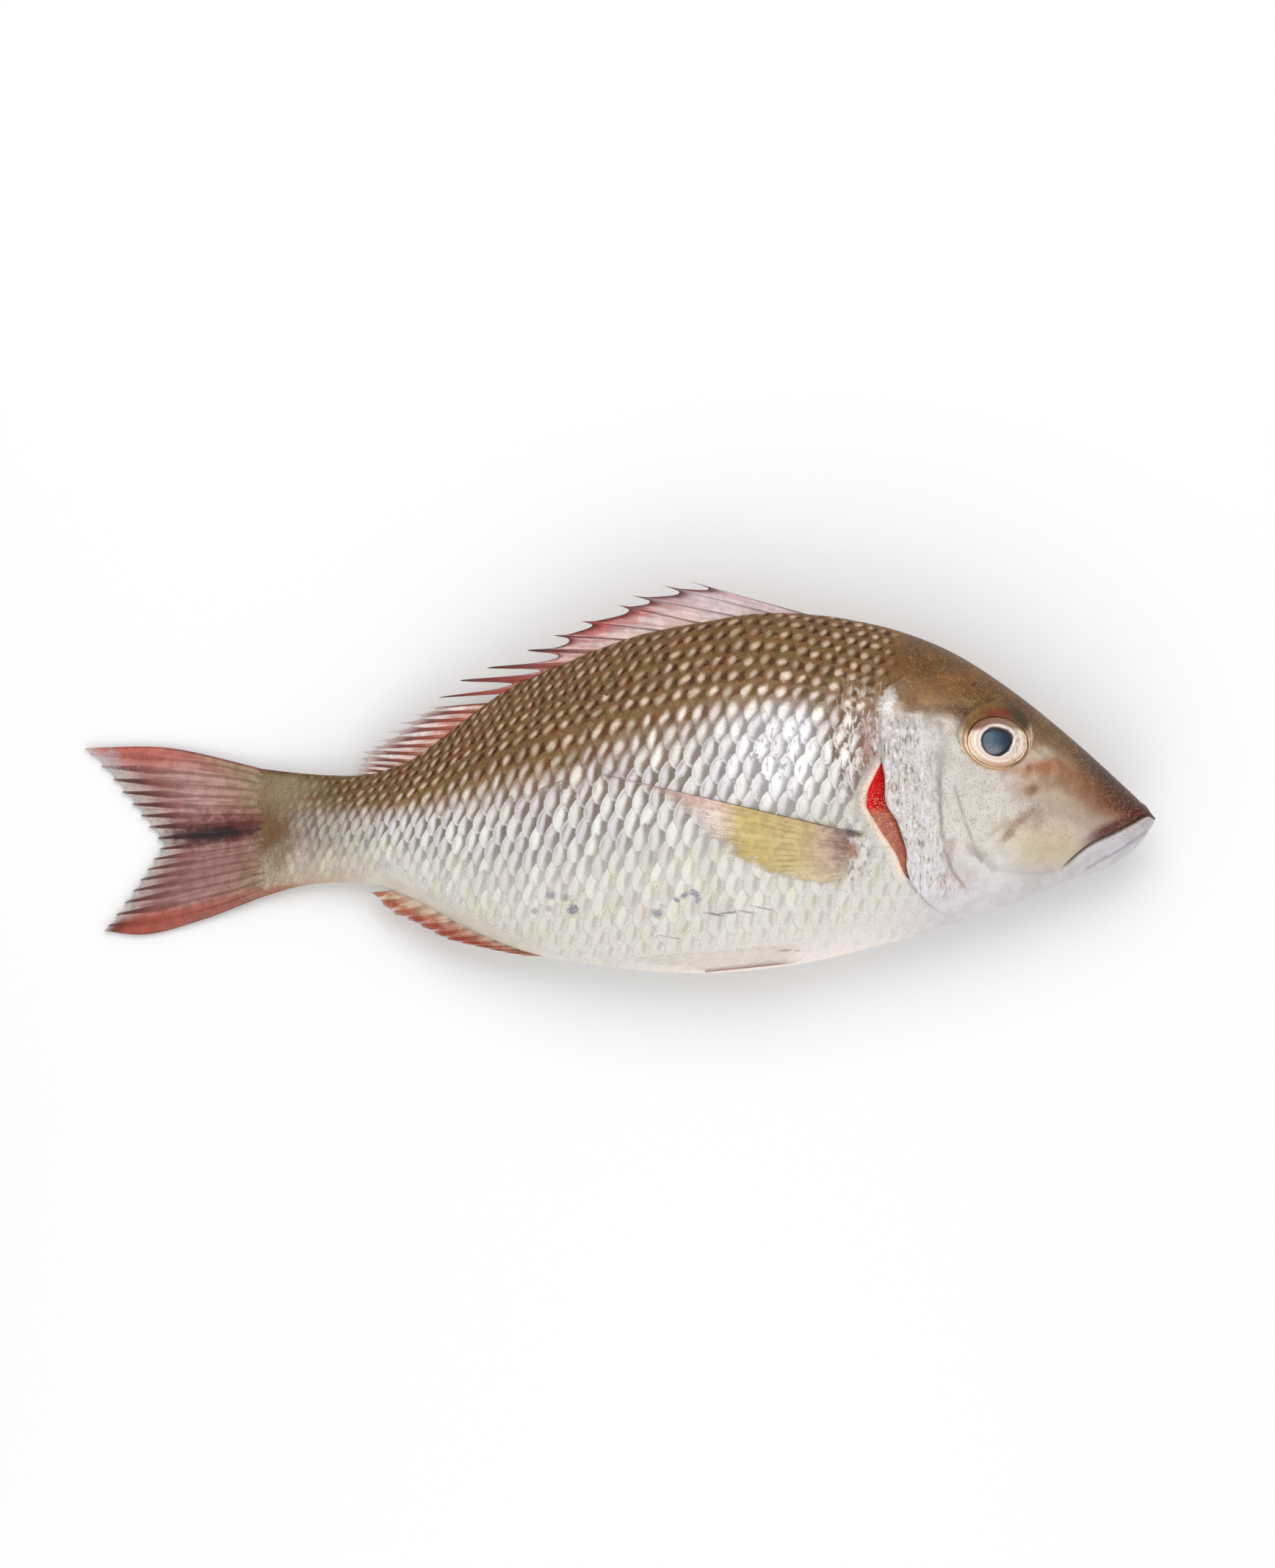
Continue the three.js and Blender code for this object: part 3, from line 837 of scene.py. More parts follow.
HEAD_PATCHES = patches(
    (206, 190, 156, 44, -11, 15, 7, 8, 0.7, 2, 0.6), (144, 88, 54, 29, 11.5, 15, 5, 28, 0.8, 2.6, 0.62),
    (178, 112, 74, 46, 17.5, 9.5, 2.6, -4, 0.7, 3.2, 0.7), (176, 122, 84, 50, 11, 7, 4, 15, 0.8, 3, 0.35),
    (84, 50, 36, 6, 5, 12, 5, 45, 0.6, 1, 0.8), (212, 204, 188, 43, 23, 4, 2.4, 0, 0.7, 2, 0.5),
    (84, 50, 26, 73, 38.6, 9, 1.7, 12, 0.7, 3, 0.95), (112, 90, 58, 70, 31, 3.4, 8, -14, 0.7, 3, 0.6),
    (132, 100, 68, 86, 39.6, 10, 2, -2, 0.8, 3.4, 0.7), (118, 84, 48, 94, 46, 8, 3.4, 8, 0.7, 2.6, 0.7),
    (148, 98, 58, 79, 48, 13, 4.5, -18, 0.8, 3, 0.4), (82, 48, 26, 67.4, 48.7, 1.9, 0.9, 0, 0.6, 1.6, 0.9),
    (92, 58, 28, 57, 39, 14, 4, -10, 0.6, 1.6, 0.75),
    (232, 230, 226, 100.2, 41, 2.8, 5.4, 8, 0.6, 2.4, 0.9),
    (150, 140, 136, 81, 20, 1.3, 14, 2, 0.9, 6, 0.45), (176, 152, 136, 78.5, -21, 1.6, 9, 8, 0.9, 6, 0.6),
    (190, 160, 142, 74, -24, 4.5, 4, 0, 0.9, 3, 0.5), (156, 138, 122, 66, -15, 5, 1.4, 40, 0.9, 5, 0.5),
    (132, 112, 98, 50.5, -1.8, 5.5, 1.1, -38, 0.8, 7, 0.6),
    (140, 122, 106, 56, -7.5, 4, 1.2, -30, 0.8, 7, 0.5),
    (150, 126, 112, 44.7, -0.8, 1.6, 2.6, 0, 0.9, 5, 0.6), (134, 94, 62, 46.7, 9.2, 2.6, 2, 0, 0.5, 2, 0.6),
    (166, 134, 114, 52, -3, 8, 2.2, -24, 0.9, 5, 0.5), (168, 128, 112, 106.5, 28, 2.6, 9, 0, 0.7, 3.4, 0.6))

SHOULDER = patches(
    (112, 74, 44, 95, 57, 6, 8, 30, 0.8, 3, 0.5), (152, 112, 98, 108.5, 27, 2.4, 10, 0, 0.8, 5, 0.65),
    (76, 56, 56, 113.5, -6.6, 4, 1.3, 8, 0.6, 2, 0.85), (150, 112, 120, 117, -9.5, 4.5, 2, 0, 0.7, 2, 0.5),
    (164, 92, 58, 114, -13, 3, 2.2, 30, 0.7, 3, 0.75))
THROAT = patches(
    (213, 207, 209, 82, -37, 11, 11, 0, 0.9, 2, 0.85), (218, 210, 206, 92, -42, 12, 8, 0, 0.9, 2, 0.6))
TAIL_ROOT = patches(
    (142, 122, 94, 335, -6, 10, 26, 0, 0.9, 3, 0.7), (112, 80, 54, 330, -6, 8, 9, 0, 0.9, 3, 0.8),
    (158, 148, 120, 322, 9, 9, 6, 0, 0.9, 3, 0.5), (146, 84, 60, 331, -29.6, 13, 2.4, -10, 0.8, 2, 0.8),
    (92, 56, 42, 330, 17.6, 14, 1.6, 6, 0.8, 1.6, 0.8))
DAMAGE = patches(
    (146, 146, 154, 230.8, -35.7, 1.3, 1.2, 0, 0.5, 4, 0.7),
    (142, 144, 152, 224.6, -29.7, 1.8, 1.3, 0, 0.5, 4, 0.75),
    (150, 150, 156, 225.6, -34.7, 1.1, 1, 0, 0.5, 4, 0.6),
    (144, 146, 154, 219.1, -30.6, 1.4, 1.2, 0, 0.5, 4, 0.7),
    (132, 132, 146, 216.4, -35.2, 1.8, 2, 0, 0.5, 4, 0.8),
    (136, 138, 154, 185.8, -36.3, 2.2, 1.8, 0, 0.5, 3, 0.8),
    (132, 132, 148, 178.2, -31.4, 1.5, 0.8, 40, 0.5, 4, 0.8),
    (128, 128, 146, 175.4, -29.6, 1.6, 1, -30, 0.5, 4, 0.8),
    (136, 136, 150, 171.8, -28.8, 1.4, 1, 50, 0.5, 4, 0.8),
    (140, 140, 152, 170.4, -31.2, 1, 1.3, 0, 0.5, 4, 0.7),
    (140, 134, 140, 164.6, -36.6, 3.4, 0.4, 9, 0.6, 2.8, 0.85),
    (140, 134, 140, 158.8, -36.1, 3.2, 0.4, -5, 0.6, 2.8, 0.85),
    (146, 140, 144, 152.8, -35.7, 3.6, 0.4, 10, 0.6, 2.8, 0.8),
    (150, 146, 148, 146.4, -34.4, 3.6, 0.35, 12, 0.6, 2.8, 0.7),
    (160, 150, 140, 181, -45.2, 5, 0.3, 10, 0.6, 1.6, 0.6),
    (150, 122, 96, 137.5, -50.4, 4, 0.4, 0, 0.8, 6, 0.7))


@dataclass(frozen=True)
class BareSkin(Finish):
    """Scaleless skin: olive-brown above, silvery cheek and white throat, and reddish snout."""

    name: str = "wet_skin"
    grain: Pair = (5, 0.9)
    lip: Seen = (86, 34, 28)
    gape: Seen = (84, 46, 40)
    jaw: Seen = (200, 197, 200)
    jaw_fold: Seen = (150, 144, 158)
    crease: Seen = (116, 92, 82)
    cream: Seen = (244, 220, 200)
    speck: Seen = (142, 118, 96)
    veil: Seen = (213, 208, 220)
    flake_dark: Seen = (128, 124, 132)
    flake_glint: Seen = (238, 236, 243)
    sheath: Seen = (206, 198, 184)

    def paint(self, easel: Easel) -> None:
        """Lays head and trunk, then the gill cover's flakes with painted glints, the mouth with painted
        shade in its line and folds, painted shade in creases, and specks.

        Args:
            easel: The material's easel.
        """
        lay, mix = easel.lay, easel.mix
        coarse, fine = easel.coarse, easel.fine
        behind, height, up = easel.marks("behind height up")
        cover, gape, crease, cream = easel.marks("cover gape crease cream")
        place = easel.join(behind, height)
        flank = easel.use(easel.effects.flank, Up=up, Behind=behind)
        flakes = easel.use(easel.effects.flakes, Place=place, Apart=3)

        easel.colour = easel.ramp(up, HEAD_RAMP)
        lay(behind.fall(38, 60), easel.ramp(up, MUZZLE_RAMP))
        lay(behind.fall(16, 38), easel.ramp(up, SNOUT_RAMP))
        body = mix(flank["Level"].span(0.66, 0.82, 0.42, 0.5), flank["Dark"], flank["Field"])
        lay(behind.span(92, 112), body)
        easel.lay_patches(HEAD_PATCHES, place)

        lay(cover * coarse.span(0.2, 0.8, 0, 0.5), self.veil)
        amount = cover * coarse.span(0.9, 0.2, 0.45, 1)
        # Painted glints and dark strokes over the silvery gill cover.
        lay(amount * flakes["Bright"], self.flake_glint)
        lay(amount * flakes["Dark"] * 0.8, self.flake_dark)
        low = up.span(0.16, 0.06) * behind.span(222, 240) * behind.span(300, 286)
        lay(low, self.sheath)
        easel.lay_patches(TAIL_ROOT, place)

        lip = gape.span(0, 0.5) * gape.fall(2.8, 6) * behind.span(20, 32, 0.9, 0)
        lay(lip, self.lip)
        lay(gape.span(-0.2, -1) * behind.span(30, 50, 0.85, 0), self.jaw)
        # The jaw fold: painted shade in the groove across the lower jaw.
        bent = easel.cloud * 2 + (behind * 0.06 + gape) + 4.6
        fold = abs(bent).span(0.1, 1, 0.6, 0) * behind.fall(34, 44)
        lay(fold * up.span(0.01, 0.06), self.jaw_fold)
        # The mouth line: painted shade in the groove where the lips meet.
        lay(abs(gape).fall(0.15, 0.8) * behind.span(31, 36, 0.85, 0), self.gape)

        # Painted shade in creases: round the cover, the cheek plate, the folds and the nostrils.
        lay(crease * coarse.span(0, 0.9, 0.25, 0.9), self.crease)
        lay(cream, self.cream)
        lay(fine.span(0.55, 0.9) * up.span(0.15, 0.4, 0.16, 0.42), self.speck)
        blotch = coarse.span(0, 1, up.span(0.55, 0.8, 0.94, 0.8), up.span(0.55, 0.8, 1.05, 1.14))
        easel.dim(blotch * fine.span(0, 1, 0.94, 1.05))
        easel.shade("Roughness", fine.span(0.1, 0.9, 0.36, 0.5))
        easel.relief = cover * (flakes["Bright"] - flakes["Dark"]) * 0.8 + easel.relief


@dataclass(frozen=True)
class ScaleFinish(Finish):
    """Scales: brown or grey at the head side, where painted shade darkens the pockets, and a pale leaning
    oval that is partly a painted highlight on the silvery scale.
    """

    name: str = "scales"
    grain: Pair = (5.5, 0.7)
    coat: float = 0.03
    specular: float = 0.13
    damaged: bool = False
    slant: Knots = ((0, -0.1), (0.4, 0), (0.66, 0.12), (0.8, 0.2), (1, 0.22))
    middle: Knots = ((0, 0.6), (0.5, 0.58), (0.7, 0.6), (1, 0.56))
    width: Knots = ((0, 0.5), (0.25, 0.36), (0.5, 0.25), (0.66, 0.25), (0.78, 0.26), (1, 0.23))
    tallness: Knots = ((0, 1), (0.3, 1), (0.55, 0.92), (0.66, 0.64), (0.78, 0.37), (1, 0.3))
    field: Knots = ((0, 0.6), (0.2, 0.5), (0.4, 0.3), (0.64, 0.18), (0.78, 0.52), (0.9, 0.46), (1, 0.42))
    glare_pocket: Seen = (190, 186, 192)
    lilac: Seen = (226, 206, 236)
    green: Seen = (216, 230, 206)
    straw: Seen = (216, 212, 182)
    blush: Seen = (216, 198, 194)
    rust: Seen = (132, 74, 34)
    moss: Seen = (112, 98, 52)
    rubbed: Patch = Patch((104, 98, 100), (115, -14), (10, 10), 0, 0.7, 2, 0.7)
    bruise_and_glint: Patch = Patch((138, 96, 88), (110, 26), (11, 18), 0, 0.7, 2, 0.85)
    glint: Seen = (236, 230, 232)
    tick: Seen = (158, 152, 136)
    nick: Seen = (158, 152, 164)

    def oval(self, across: Wire, along: Wire, wide: Wire, tall: Wire) -> Wire:
        """How far out of a leaf-shaped oval a place is, 1 at its edge."""
        return (abs(across / wide) ** 1.7 + abs(along / tall) ** 1.7) ** (1 / 1.7)

    def paint(self, easel: Easel) -> None:
        """Draws each scale's oval, partly a painted highlight, its dark head side, partly painted shade,
        and its hem; then tints them with a painted sheen and lays wear, bruises and painted glints.

        Args:
            easel: The material's easel.
        """
        lay, mix = easel.lay, easel.mix
        coarse, fine, cloud = easel.coarse, easel.fine, easel.cloud
        behind, height, up = easel.marks("behind height up")
        tailward, upward, luck, bold = easel.marks("tailward upward luck bold")
        place = easel.join(behind, height)
        flank = easel.use(easel.effects.flank, Up=up, Behind=behind)
        flakes = easel.use(easel.effects.flakes, Place=place, Apart=3)
        # The silvery patch carries a painted glare, so the ovals are wider and the pockets lighter there.
        level, silver_glare = flank["Level"], flank["Silver"]

        drift = easel.noise(place, 7, 0) - 0.5
        sag = easel.noise(easel.vector("ADD", place, (31, 57, 5)), 7, 0) - 0.5
        leaned = tailward - easel.ramp(level, self.middle) + (
            upward * easel.ramp(level, self.slant) + drift * 0.45)
        raised = sag * 0.5 + upward
        wide = easel.ramp(level, self.width) * luck.span(0, 1, 0.86, 1.14) + silver_glare * 0.12
        tall = easel.ramp(level, self.tallness) + silver_glare * 0.2
        wander = (fine - 0.5) * 0.35
        # The pale oval of each scale: partly the scale's own pale spot, partly a painted highlight.
        pale = (self.oval(leaned, raised, wide, tall) + wander).fall(0.3, 1.5)
        weakest = level.span(0.66, 0.8, 0.72, 0.45)
        pale = pale * (luck * 7.31).math("FRACT").span(0, 1, weakest, 1)
        # The darker head side of each scale: partly brown pigment, partly painted shade under the scale in
        # front.
        pocket_shade = self.oval(wide * 2 + leaned, raised + 0.12, wide * 1.4, tall * 1.3)
        pocket_shade = (pocket_shade + wander).fall(0.3, 1.6)
        away = tailward * tailward + upward * upward
        hem = away.span(0.5, 0.92, 0, 0.85) * level.fall(0.62, 0.76)

        # Inside the painted glare the pockets are painted lighter too.
        dark = mix(silver_glare * 0.7, flank["Dark"], self.glare_pocket)
        easel.colour = mix(easel.ramp(level, self.field).math("MAXIMUM", hem), dark, flank["Field"])
        lay(pocket_shade, dark)
        lay(pale, flank["Light"])
        plain = mix(level.span(0.66, 0.82, 0.42, 0.5), flank["Dark"], flank["Field"])
        easel.colour = mix(bold, plain, easel.colour)

        lower = level.span(0.06, 0.16) * level.fall(0.36, 0.5)
        tinge = easel.noise(easel.vector("MULTIPLY", place, (1, 0.6, 1)), 6, 1)
        lay(lower * tinge.span(0.52, 0.66, 0, 0.5), self.straw)
        lay(lower * tinge.span(0.46, 0.34, 0, 0.4), self.blush)
        tick = abs(leaned + 0.3).fall(0.05, 0.2) * abs(upward).span(0.2, 0.7, 0.4, 0)
        lay(tick * (level.span(0.05, 0.14) * level.fall(0.34, 0.5)), self.tick)
        # A painted sheen: lilac and green tints laid over the pale ovals of the silvery flank.
        tint = mix(luck.span(0.35, 0.65), self.lilac, self.green)
        painted_sheen = pale * 0.4 * level.span(0.3, 0.55) * level.span(0.7, 0.84, 1, 0.2)
        lay(painted_sheen, tint, "SOFT_LIGHT")
        nicks = easel.noise(easel.vector("MULTIPLY", place, (1, 0.45, 1)), 1.5).span(0.55, 0.63)
        lay(nicks * silver_glare * 0.7, self.nick)
        brown = level.span(0.6, 0.8)
        lay(cloud.span(0.5, 0.66, 0, 0.38) * brown, self.rust)
        lay(coarse.span(0.42, 0.05, 0, 0.32) * brown, self.moss)

        lay(easel.mask(self.rubbed, place) * flakes["Dark"], self.rubbed.colour)
        # Behind the upper gill cover: painted glints over the scales, with a bruise laid in the dark
        # strokes.
        above = easel.mask(self.bruise_and_glint, place)
        lay(above * flakes["Bright"], self.glint)
        lay(above * flakes["Dark"], self.bruise_and_glint.colour)
        easel.lay_patches(SHOULDER + THROAT + TAIL_ROOT + (DAMAGE if self.damaged else ()), place)
        uneven = luck.span(0, 1, bold.span(0, 0.6, 0.99, 0.92), bold.span(0, 0.6, 1, 1.06))
        dull, light = level.span(0.6, 0.8, 0.95, 0.84), level.span(0.6, 0.8, 1.04, 1.13)
        easel.dim(uneven * fine.span(0.1, 0.9, dull, light))
        easel.shade("Metallic", pale * 0.25 * level.span(0.3, 0.6))
        easel.shade("Roughness", fine.span(0.1, 0.9, 0.34, 0.5))
        rings = ((tailward + upward ** 2) * 26).math("SINE")
        easel.relief = rings * (bold * 0.12) + easel.relief


@dataclass(frozen=True)
class FinFinish(Finish):
    """A thin fin: rays over a membrane, both changing from root to tip, with a darker rim."""

    membrane: Stops = ()
    ray: Stops = ()
    streak: Seen = (236, 214, 208)
    streak_share: float = 0.5
    streaks: float = 60.0
    vein: Seen = (140, 60, 54)
    vein_share: float = 0.2
    rim: Seen = (120, 42, 38)
    rim_from: float = 0.86
    rim_share: float = 0.85
    patches: tuple[Patch, ...] = ()
    clear: float = 0.0
    clear_tip: float = 0.3
    clear_from: Pair = (0, 1)
    clear_root: float = 0.0
    fray: float = 0.0
    hems: Pair = (0, 0)
    ray_seen: float = 0.95
    ray_from: Pair = (0.2, 0.8)
    ray_dark: float = 0.86
    ray_share: float = 0.85
    tip_share: float = 0.95
    joints: float = 240.0

    def paint(self, easel: Easel) -> None:
        """Lays the membrane, its streaks, the rays, patches and the rim, and clears the thin skin.

        Args:
            easel: The material's easel.
        """
        lay = easel.lay
        ray, out, across, edge = easel.marks("ray out across edge")
        rays = easel.use(
            easel.effects.rays, Ray=ray, Out=out, Across=across, Joints=self.joints, Streaks=self.streaks)
        easel.colour = easel.ramp(out, self.membrane)
        lay(rays["Streak"] * self.streak_share, self.streak)
        lay(rays["Vein"] * self.vein_share, self.vein)
        outer = out.span(0.5, 0.85, self.ray_share, self.tip_share)
        lay(ray.span(*self.ray_from) * outer, easel.ramp(out, self.ray))
        easel.lay_patches(self.patches, easel.join(out, across))
        rim = edge.span(self.rim_from, 1) * self.rim_share
        lay(rim * ray.span(0.3, 0.8, 1, 0.2), self.rim)
        light = easel.coarse.span(0, 1, 0.88, 1.1) * rays["Joint"].span(0, 1, 1, 0.82)
        easel.dim(light * ray.span(0.2, 0.8, 1.04, self.ray_dark))
        easel.shade("Roughness", rays["Streak"].span(0, 1, 0.32, 0.5))

        seen = 1 - out.span(*self.clear_from, self.clear, self.clear_tip)
        seen = seen.math("MAXIMUM", ray.span(0.1, 0.8, 0, self.ray_seen))
        if self.fray:
            seen = seen * (edge + (easel.cloud - 0.5)).span(1 - self.fray, 1, 1, 0.15)
        for hem, start, stop in zip(self.hems, (0.05, 0.9), (0, 1)):
            if hem:
                seen = seen.math("MAXIMUM", across.span(start, stop, 0, hem))
        if self.clear_root:
            seen = seen * (out + (easel.cloud - 0.5) * 0.2).span(0, self.clear_root)
        easel.shade("Alpha", seen)
        easel.relief = rays["Relief"]


@dataclass(frozen=True)
class EyeFinish(Finish):
    """A clouded blue-grey pupil with a black rim in a cream-gold iris, under a wet cover."""

    name: str = "eyeball"
    grain: Pair = (3.5, 0.5)
    roughness: float = 0.25
    coat: float = 0.4
    coat_roughness: float = 0.08
    lens: Seen = (56, 82, 98)
    lens_pale: Seen = (118, 120, 130)
    lens_dark: Seen = (34, 44, 68)
    rim: Seen = (18, 14, 16)
    bands: Stops = (
        (0, (150, 136, 136)), (0.06, (232, 222, 218)), (0.2, (244, 230, 218)), (0.3, (226, 202, 182)),
        (0.4, (255, 246, 234)), (0.56, (250, 232, 212)), (0.66, (228, 198, 170)), (0.76, (254, 242, 226)),
        (0.84, (206, 164, 126)), (0.9, (112, 70, 42)), (1, (104, 66, 40)))
    crease: Seen = (170, 130, 96)
    rust: Seen = (118, 66, 30)
    low: Seen = (190, 150, 118)
    mottle: Seen = (142, 122, 78)

    def paint(self, easel: Easel) -> None:
        """Lays the wrinkled iris and the clouded lens inside it.

        Args:
            easel: The material's easel.
        """
        lay, mix = easel.lay, easel.mix
        inner, outer, ahead, above = easel.marks("pupil iris ahead above")
        bent = outer + (easel.coarse - 0.5) * 0.1
        wrinkle = (bent * 40).math("SINE")
        easel.colour = easel.ramp(bent, self.bands)
        # Painted shade along the wrinkles of the iris.
        lay(wrinkle.span(0.1, 1, 0, 0.42), self.crease)
        lay(above.span(0.26, 0.5) * outer.span(0.12, 0.36, 0, 0.9), self.rust)
        lay(above.span(-0.35, -0.85) * outer.span(0.3, 0.7, 0, 0.85), self.low)
        spots = easel.noise(easel.join(ahead, above, outer), 0.22).span(0.45, 0.62)
        lay(ahead.span(0.7, 1.3) * (spots * 0.5), self.mottle)
        lens = mix(above.fall(-0.75, -0.1), self.lens, self.lens_pale)
        lens = mix(ahead.span(-0.1, 0.6, 0, 0.85), lens, self.lens_dark)
        lens = mix(above.span(0.2, 0.7, 0, 0.7), lens, self.lens_dark)
        edge = ahead.span(-0.6, 0.6, 0, 0.16) + above.span(-0.4, 0.6, 0, 0.08)
        lens = mix((inner + edge).span(0.86, 1), lens, self.rim)
        easel.colour = mix(inner.span(0.985, 1), lens, easel.colour)
        easel.relief = wrinkle * 0.25 + easel.fine


@dataclass(frozen=True)
class SocketFinish(Finish):
    """The skin round an eye: brown lid above, golden fold below, greyish behind."""

    name: str = "eye_socket"
    grain: Pair = (2.6, 0.6)
    lid: Seen = (124, 92, 52)
    lid_rust: Seen = (118, 54, 22)
    lid_olive: Seen = (74, 58, 28)
    lid_line: Seen = (78, 50, 24)
    orange: Seen = (190, 122, 74)
    fold: Stops = (
        (0, (150, 104, 66)), (0.16, (232, 200, 164)), (0.30, (232, 200, 164)), (0.38, (150, 104, 66)),
        (0.52, (222, 196, 164)), (1, (214, 200, 180)))
    hind: Seen = (186, 176, 150)
    front: Seen = (206, 178, 158)

    def paint(self, easel: Easel) -> None:
        """Lays the fold next to the eye, the lid over it, and fades the skin out at the rim.

        Args:
            easel: The material's easel.
        """
        lay, mix = easel.lay, easel.mix
        out, ahead, above = easel.marks("out ahead above")
        side = mix(ahead.span(-0.3, 0.3), self.hind, self.front)
        easel.colour = mix(out.span(0.35, 0.7), easel.ramp(out, self.fold), side)
        lid = mix(ahead.span(-0.1, 0.6), self.lid, self.lid_olive)
        near = out.fall(0.15, 0.7) * abs(ahead - 0.05).fall(0.2, 0.6)
        lid = mix(near, lid, self.lid_rust)
        lid = mix(out.span(0.72, 0.95), lid, self.lid_line)
        lay(above.span(0.05, 0.5) * out.span(0, 0.14), lid)
        corner = ahead.span(0.2, 0.7) * above.span(0, -0.5) * easel.coarse.span(0.3, 0.8, 0, 0.8)
        lay(corner * out.span(0.3, 0.6), self.orange)
        easel.dim(easel.coarse.span(0, 1, 0.84, 1.12))
        easel.shade("Alpha", (easel.coarse * 0.24 + out).fall(0.78, 1.06))


@dataclass(frozen=True)
class GillFinish(Finish):
    """Wet gill flesh: bright red above, dull brick red below, with pale flecks painted as wet glints."""

    name: str = "gill_flesh"
    grain: Pair = (2.2, 0.5)
    roughness: float = 0.55
    coat: float = 0.02
    specular: float = 0.06
    coat_roughness: float = 0.12
    bright: Seen = (206, 22, 0)
    deep: Seen = (176, 4, 4)
    dull: Seen = (168, 102, 92)
    pale: Seen = (200, 132, 92)
    margin: Seen = (110, 44, 34)
    fleck: Seen = (240, 176, 160)

    def paint(self, easel: Easel) -> None:
        """Lays the red, the dull lower part with its dark margin, and the flecks, which are painted glints.

        Args:
            easel: The material's easel.
        """
        lay, mix = easel.lay, easel.mix
        down, across = easel.marks("down across")
        easel.colour = mix(across.span(0.2, 0.8), self.deep, self.bright)
        dull = mix(easel.coarse.span(0.5, 0.9, 0, 0.6), self.dull, self.pale)
        lay(down.span(0.36, 0.46), dull)
        lay(down.span(0.4, 0.5) * across.span(0.3, 0, 0, 0.6), self.margin)
        # Pale flecks painted as wet glints round the boundary of the dull part.
        around = abs(down - 0.42).span(0.02, 0.3, 0.8, 0.12)
        lay(easel.fine.span(0.78, 0.92) * around, self.fleck)


# Skin, scales, eyes and gills
@dataclass(frozen=True)
class HeadRelief:
    """The forms of the head that stand out of the body's outline or are sunk in it."""

    cover_row: float = 98.0
    slit_row: float = 104.0
    cover_rise: float = 1.5
    slit_depth: float = 4.3
    cheek_rise: float = 0.9
    cover: Run = Run((
        (46, 101), (34, 103), (20.2, 102.3), (13.9, 101.2), (4.4, 100.7), (-1.9, 96.9),
        (-7.9, 94.7), (-13.9, 93), (-19.6, 93), (-25.4, 91.2), (-33, 84), (-39, 74)))
    cover_front: Run = Run(((46, 88), (0, 80), (-28, 74), (-39, 66)))
    slit: Run = Run((
        (20.2, 102.3), (14.7, 105.3), (9.3, 108), (4.1, 108.9), (-0.5, 106.7), (-6.8, 102.9),
        (-13.9, 97.7), (-20.7, 94.7), (-25.4, 91.6)))
    cheek: Run = Run(((20, 80.5), (0, 80), (-10, 78.5), (-20, 75.5), (-29, 69)))
    cheek_front: Run = Run(((20, 66), (0, 54), (-29, 44)))
    gape: Run = Run(((0, -1.4), (3, 0.2), (8, -2.6), (15.6, -6.6), (25.4, -11.6), (35.5, -20.2)))
    gape_end: float = 35.5
    fold: Line = Line(((75.6, 10.6), (71.5, -2.7), (68.2, -11.2), (65.5, -16.9)))
    jaw_fold: Line = Line(((61.4, -19.4), (53, -21.3), (44.7, -21.8), (38, -21)))
    temple: Line = Line(((92, 41), (84, 39.5), (75, 36)))
    nostrils: Knots = ((45.8, 9.6), (47.4, 17.6))
    eye: Pair = (59.5, 27.1)

    def rows(self) -> Array:
        """Places down the body of the skin's rows, closest over the head.

        Returns:
            Their distances behind the snout, before they are bent to the gill cover's edge.
        """
        snout = [0.12, 0.4, 0.8, 1.3, 1.85]
        head = np.arange(2.4, self.cover_row - 1.2, 0.56)
        edge = self.cover_row + np.array([-1.1, -0.65, -0.3, 0, 0.06, 0.3, 0.7])
        slit = np.arange(self.cover_row + 1.3, self.slit_row + 6, 0.65)
        trunk = np.arange(slit[-1] + 1, BREAM.end - BREAM.root_round, 2.5)
        root = BREAM.end - BREAM.root_round + BREAM.root_round * np.array(
            [0, 0.2, 0.4, 0.57, 0.71, 0.82, 0.9, 0.96, 0.99])
        return np.concatenate([snout, head, edge, slit, trunk, root])

    def bend(self, row: Array, y: Array) -> Array:
        """Bends rows so that one follows the gill cover's edge and one the slit behind it.

        Args:
            row: The rows' unbent places.
            y: Heights.

        Returns:
            Distances behind the snout.
        """
        before, after = 62, 150
        high = smooth(y, 48, 60)
        edge = between(self.cover(y), self.cover_row, high)
        behind = np.where((y > -25.4) & (y < 20.2), self.slit(y), edge)
        behind = np.maximum(behind, edge + 0.8)
        first = before + (edge - before) * (row - before) / (self.cover_row - before)
        gap = edge + (behind - edge) * (row - self.cover_row) / (self.slit_row - self.cover_row)
        last = behind + (after - behind) * (row - self.slit_row) / (after - self.slit_row)
        bent = np.where(row < self.cover_row, first, np.where(row < self.slit_row, gap, last))
        return np.where((row < before) | (row > after), row, bent)

    def cover_share(self, s: Array, y: Array) -> Array:
        """How far a place is over the gill cover, from its front at 0 to its edge at 1."""
        front = self.cover_front(y)
        return np.clip((s - front) / (self.cover(y) - front), 0, 1)

    def scales_from(self, y: Array) -> Array:
        """The place in front of which no scale reaches: the edge of the cover or of the slit."""
        edge = np.where(y < 46, self.cover(y) + 0.5, 102.5 - 1.6 * (y - 46))
        return np.where((y > -25.6) & (y < 20.4), np.maximum(self.slit(y) + 0.9, edge), edge)

    def plate(self, s: Array, y: Array) -> Array:
        """The height of the gill cover over the outline, before its hind edge."""
        edge = np.sin(np.pi * between(0.08, 0.92, np.clip((46 - y) / 85, 0, 1))) ** 0.5
        return self.cover_rise * edge * window(y, -39, -33, 41, 47) * self.cover_share(s, y) ** 1.5

    def lip_distance(self, s: Array, y: Array) -> Array:
        """How far a place is over the mouth line, less than 0 under it."""
        return (y - self.gape(s)) * 0.88

